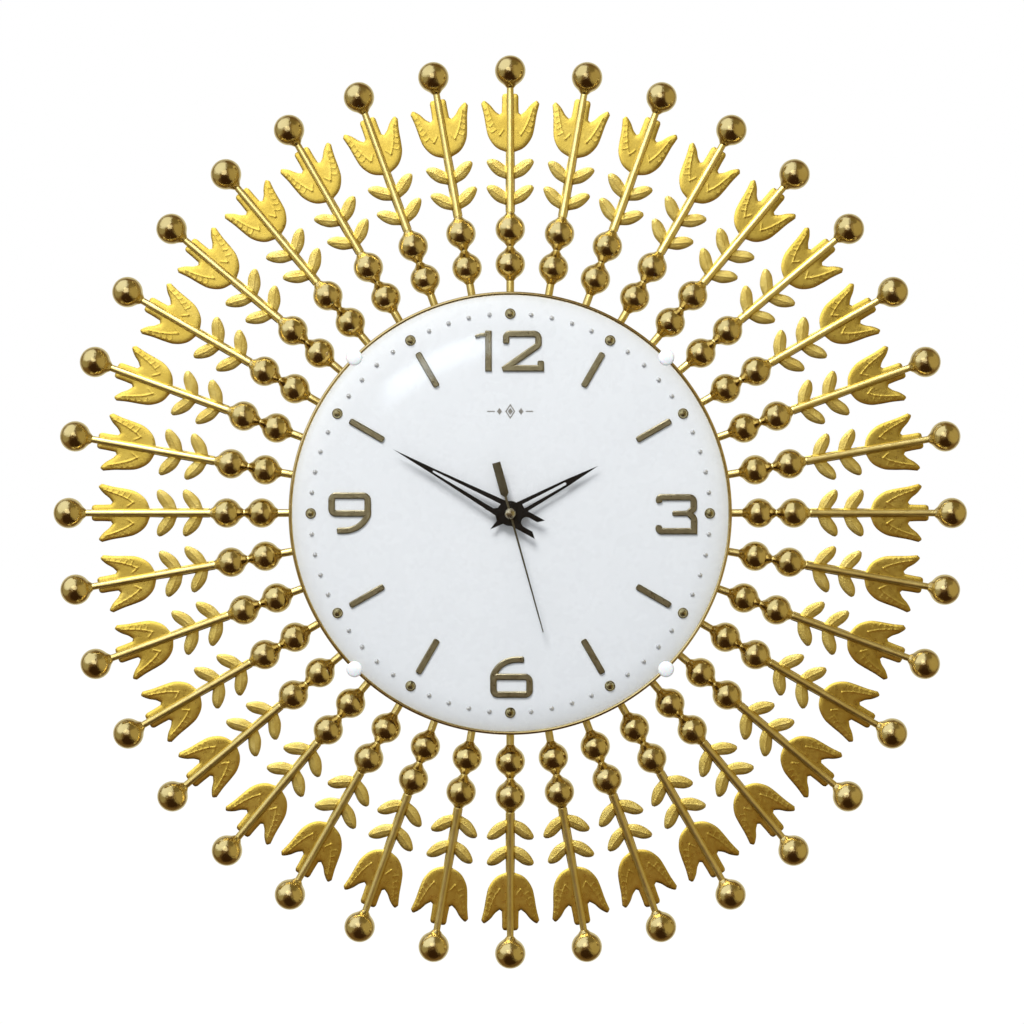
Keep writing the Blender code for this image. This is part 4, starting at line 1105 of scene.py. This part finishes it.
def make_setting_knob():
    """Fluted thumb knob with a dished face, on its arbor."""
    low, high = level("setting_knob")
    knob_radius, flutes, flute_depth, sides = 6.0, 20, 0.32, 160
    rings = [(0.55, low + 0.55), (0.62, low + 0.15), (0.80, low), (0.95, low + 0.1), (1.0, low + 0.5)]
    rings += [(1.0, high - 0.5), (0.95, high - 0.1), (0.85, high)]
    verts, faces = [], []
    for share, z in rings:
        for i in range(sides):
            angle = 2 * pi * i / sides
            depth = flute_depth * max(0.0, cos(flutes * angle)) ** 2 if share > 0.9 else 0.0
            radius = knob_radius * share - depth
            verts.append((radius * cos(angle), radius * sin(angle), z))
    for start in range(0, (len(rings) - 1) * sides, sides):
        for i in range(sides):
            j = (i + 1) % sides
            faces.append([start + j, start + i, start + sides + i, start + sides + j])
    faces.append(list(range(sides))[::-1])
    faces.append([(len(rings) - 1) * sides + i for i in range(sides)])
    mesh = faced_out(mesh_from(verts, faces, 40.0))
    at = place_of("setting_knob_spin")
    body, replaces = "setting_wheel_assembly", ("setting_knob",)
    piece("setting_knob_cap", mesh, "knob_black", body, replaces, at=at)


def make_nut():
    """Chamfered hexagon nut on a thin washer."""
    low, high = level("fixing_nut")
    flat, bore, reach = 6.6, 4.6, 9.5
    sides = [polar(flat / cos(pi / 6), 60 * i) for i in range(6)]
    mesh = plate([sides[::-1], circle(bore)], low, high)
    nut = piece("nut", mesh, "brass", replaces=("fixing_nut",))
    cone = [(bore + 0.4, 0.5), (reach, 0.5), (reach, -1.1), (flat + 0.1, 0), (bore + 0.4, 0)]
    cutter = add_object("nut_chamfer", lathe(shifted(cone, high), 96, True))
    cutter.matrix_world = nut.matrix_world
    cut = nut.modifiers.new("chamfer", "BOOLEAN")
    cut.operation = "DIFFERENCE"
    cut.object = cutter
    made = baked(nut)
    nut.modifiers.clear()
    nut.data = made
    bpy.data.objects.remove(cutter)
    washer = shifted([(7.8, 0.25), (8.0, 0.15), (8.0, 0.02), (4.9, 0.02), (4.9, 0.27)], DIAL_Z)
    piece("washer", lathe(washer, 96, closed=True), "brass")


def make_movement():
    """Materials of the movement's own solids, which keep the shape they have, and its small details."""
    finishes = {
        "moulded_black": ("movement_case", "movement_cover"),
        "bright_steel": ("stator",),
        "enamelled_copper": ("coil",),
        "board_green": ("circuit_board",),
        "acetal": ("rotor", "intermediate_wheel", "third_wheel", "minute_wheel", "hour_wheel"),
        "turned_brass": ("seconds_wheel", "centre_wheel", "minute_arbor"),
    }
    for name, nodes in finishes.items():
        for node in nodes:
            bpy.data.objects[node].material_slots[0].material = FINISH[name]
    make_battery()
    make_contacts()
    make_cover_details()
    make_setting_knob()
    make_nut()


# ---------------- studio


WHITE = (1.0, 1.0, 1.0)
CENTRE = (0.0, 0.0, 0.0)
LIGHTS_Y = -3.3
FLOOR_Z = -0.42
FLOOR_HALF = 9.0
SATIN_PIECES = ("ray_", "hoop", "numeral_", "hour_bar_")


def blended(tree, factor, first, second):
    """Colour mix: each of its two inputs is a colour or a socket."""
    colours = [(*value, 1.0) if isinstance(value, tuple) else value for value in (first, second)]
    inputs = {"Factor": factor, 6: colours[0], 7: colours[1]}
    return add_node(tree, "Mix", inputs, data_type="RGBA").outputs[2]


def share_between(tree, value, start, end):
    """0 at start, 1 at end, smooth between."""
    return spread(tree, value, 0.0, 1.0, start, end, interpolation_type="SMOOTHSTEP")


def make_floor():
    """Pale floor below the clock, which turns into the white background further out."""
    corners = box_outline((-FLOOR_HALF, FLOOR_HALF), (-FLOOR_HALF, FLOOR_HALF))
    mesh = bpy.data.meshes.new("floor")
    mesh.from_pydata([(*corner, FLOOR_Z) for corner in corners], [], [(0, 1, 2, 3)])
    obj = add_object("floor", mesh)
    tree = new_material("floor")
    place = add_node(tree, "TexCoord").outputs["Object"]
    reach = add_node(tree, "VectorMath", {0: place}, operation="LENGTH").outputs["Value"]
    far = share_between(tree, reach, 0.30, 0.62)
    grain = add_node(tree, "TexNoise", {"Scale": 30.0, "Vector": place}).outputs["Fac"]
    near = blended(tree, grain, (0.80, 0.80, 0.795), (0.84, 0.84, 0.835))
    feed(tree.nodes["Principled BSDF"], {
        "Roughness": 0.8, "Specular IOR Level": 0.0,
        "Base Color": blended(tree, far, near, (0.0, 0.0, 0.0)),
        "Emission Color": blended(tree, far, (0.12, 0.12, 0.12), WHITE), "Emission Strength": 1.02,
    })
    mesh.materials.append(FINISH["floor"])
    obj.visible_glossy = False
    obj.visible_diffuse = False


def make_world():
    """White to the eye, pale for soft light, and a warm dim room with brighter sides for reflections."""
    world = bpy.data.worlds.new("studio")
    bpy.context.scene.world = world
    world.use_nodes = True
    tree = world.node_tree
    direction = add_node(tree, "TexCoord").outputs["Generated"]
    room = (0.16, 0.095, 0.034)
    layers = (
        ((0.05, -0.62, -0.78), 0.55, 0.85, (0.036, 0.016, 0.005)),
        ((0.92, -0.35, 0.10), 0.50, 0.82, (0.42, 0.33, 0.135)),
        ((-1.0, -0.20, 0.05), 0.72, 0.90, (0.34, 0.29, 0.16)),
        ((-0.60, -0.34, 0.72), 0.62, 0.84, (0.95, 0.95, 0.90)),
        ((0.42, -0.35, 0.84), 0.86, 0.96, (0.19, 0.14, 0.05)),
        ((0.0, 1.0, 0.05), 0.45, 0.85, (0.70, 0.67, 0.56)),
    )
    for vector, start, end, colour in layers:
        inputs = {0: direction, 1: Vector(vector).normalized()}
        facing = add_node(tree, "VectorMath", inputs, operation="DOT_PRODUCT").outputs["Value"]
        room = blended(tree, share_between(tree, facing, start, end), room, colour)
    path = add_node(tree, "LightPath")
    shown = blended(tree, path.outputs["Is Glossy Ray"], (0.56, 0.57, 0.59), room)
    shown = blended(tree, path.outputs["Is Camera Ray"], shown, WHITE)
    feed(tree.nodes["Background"], {"Color": shown})


def aimed(obj, location, back):
    """Stands an object at a place with its back along a direction."""
    obj.location = location
    obj.rotation_mode = "QUATERNION"
    obj.rotation_quaternion = back.to_track_quat("Z", "Y")


def area_light(name, location, towards, size, radiance, colour=WHITE, roll=0.0, unseen="visible_diffuse"):
    """Rectangular light facing `towards`, rolled by degrees. Its power follows from its radiance."""
    light = bpy.data.lights.new(name, "AREA")
    light.shape = "RECTANGLE"
    light.size, light.size_y = size
    light.energy = radiance * pi * size[0] * size[1]
    light.color = colour
    obj = add_object(name, light)
    aimed(obj, location, Vector(location) - Vector(towards))
    if roll:
        obj.rotation_quaternion @= Matrix.Rotation(radians(roll), 3, "Z").to_quaternion()
    obj.visible_camera = False
    setattr(obj, unseen, False)
    return obj


def front_light(name, x, z, size, radiance, colour=WHITE, roll=0.0):
    """Light in front of the clock that shines straight back and shows only in reflections."""
    return area_light(name, (x, LIGHTS_Y, z), (x, 0, z), size, radiance, colour, roll)


def link_only(light, objects, kept=True):
    """Lets a light reach only these objects or, with kept False, everything but them."""
    group = bpy.data.collections.new(light.name + "_targets")
    light.light_linking.receiver_collection = group
    for obj in objects:
        group.objects.link(obj)
    for entry in group.collection_objects:
        entry.light_linking.link_state = "INCLUDE" if kept else "EXCLUDE"


def make_lights():
    """Key from above, soft sources for the gold, and a small window that shows only in the glass."""
    dome = bpy.data.objects["glass_dome"]
    satin = [
        obj for obj in bpy.data.objects
        if obj.name.startswith(SATIN_PIECES) and not obj.name.endswith("_ball")
    ]
    area_light("key", (-0.66, -1.50, 2.05), CENTRE, (0.95, 0.95), 27.0, unseen="visible_glossy")
    softbox = front_light("softbox", -0.80, 1.05, (2.0, 1.86), 0.88, (1.0, 0.985, 0.93))
    link_only(softbox, [dome] + satin, kept=False)
    link_only(front_light("sheet", -0.50, 0.98, (2.8, 1.36), 2.3, (0.98, 1.0, 0.90), 28.0), satin)
    link_only(area_light("top", (-0.55, -1.2, 1.9), CENTRE, (1.3, 1.3), 6.5), satin)
    ember = area_light("ember", (0.0, LIGHTS_Y, -1.0), CENTRE, (3.0, 0.9), 0.25, (1.0, 0.52, 0.20))
    link_only(ember, satin)
    link_only(front_light("window", -0.335, 0.60, (0.54, 0.22), 2.4, roll=28.0), [dome])


def make_camera():
    """Long lens just above the hand axis. The clock hangs a little left of the picture's middle."""
    distance, width, left, low = 2.8, 0.7056, 0.0012, 0.0007
    camera = bpy.data.cameras.new("camera")
    camera.sensor_width = 36.0
    camera.lens = camera.sensor_width * distance / width
    elevation = radians(1.2)
    back = Vector((0.0, -cos(elevation), sin(elevation)))
    aim = Vector((left, WALL - ROD_Z * MM, low))
    obj = add_object("camera", camera)
    aimed(obj, aim + back * distance, back)
    bpy.context.scene.camera = obj


make_golds()
make_dial_finishes()
make_stock_finishes()
make_glass()
make_rays()
make_dial()
make_case()
make_hands()
make_movement()
make_frame()
make_floor()
make_world()
make_lights()
make_camera()
bpy.context.scene.view_settings.view_transform = "Standard"
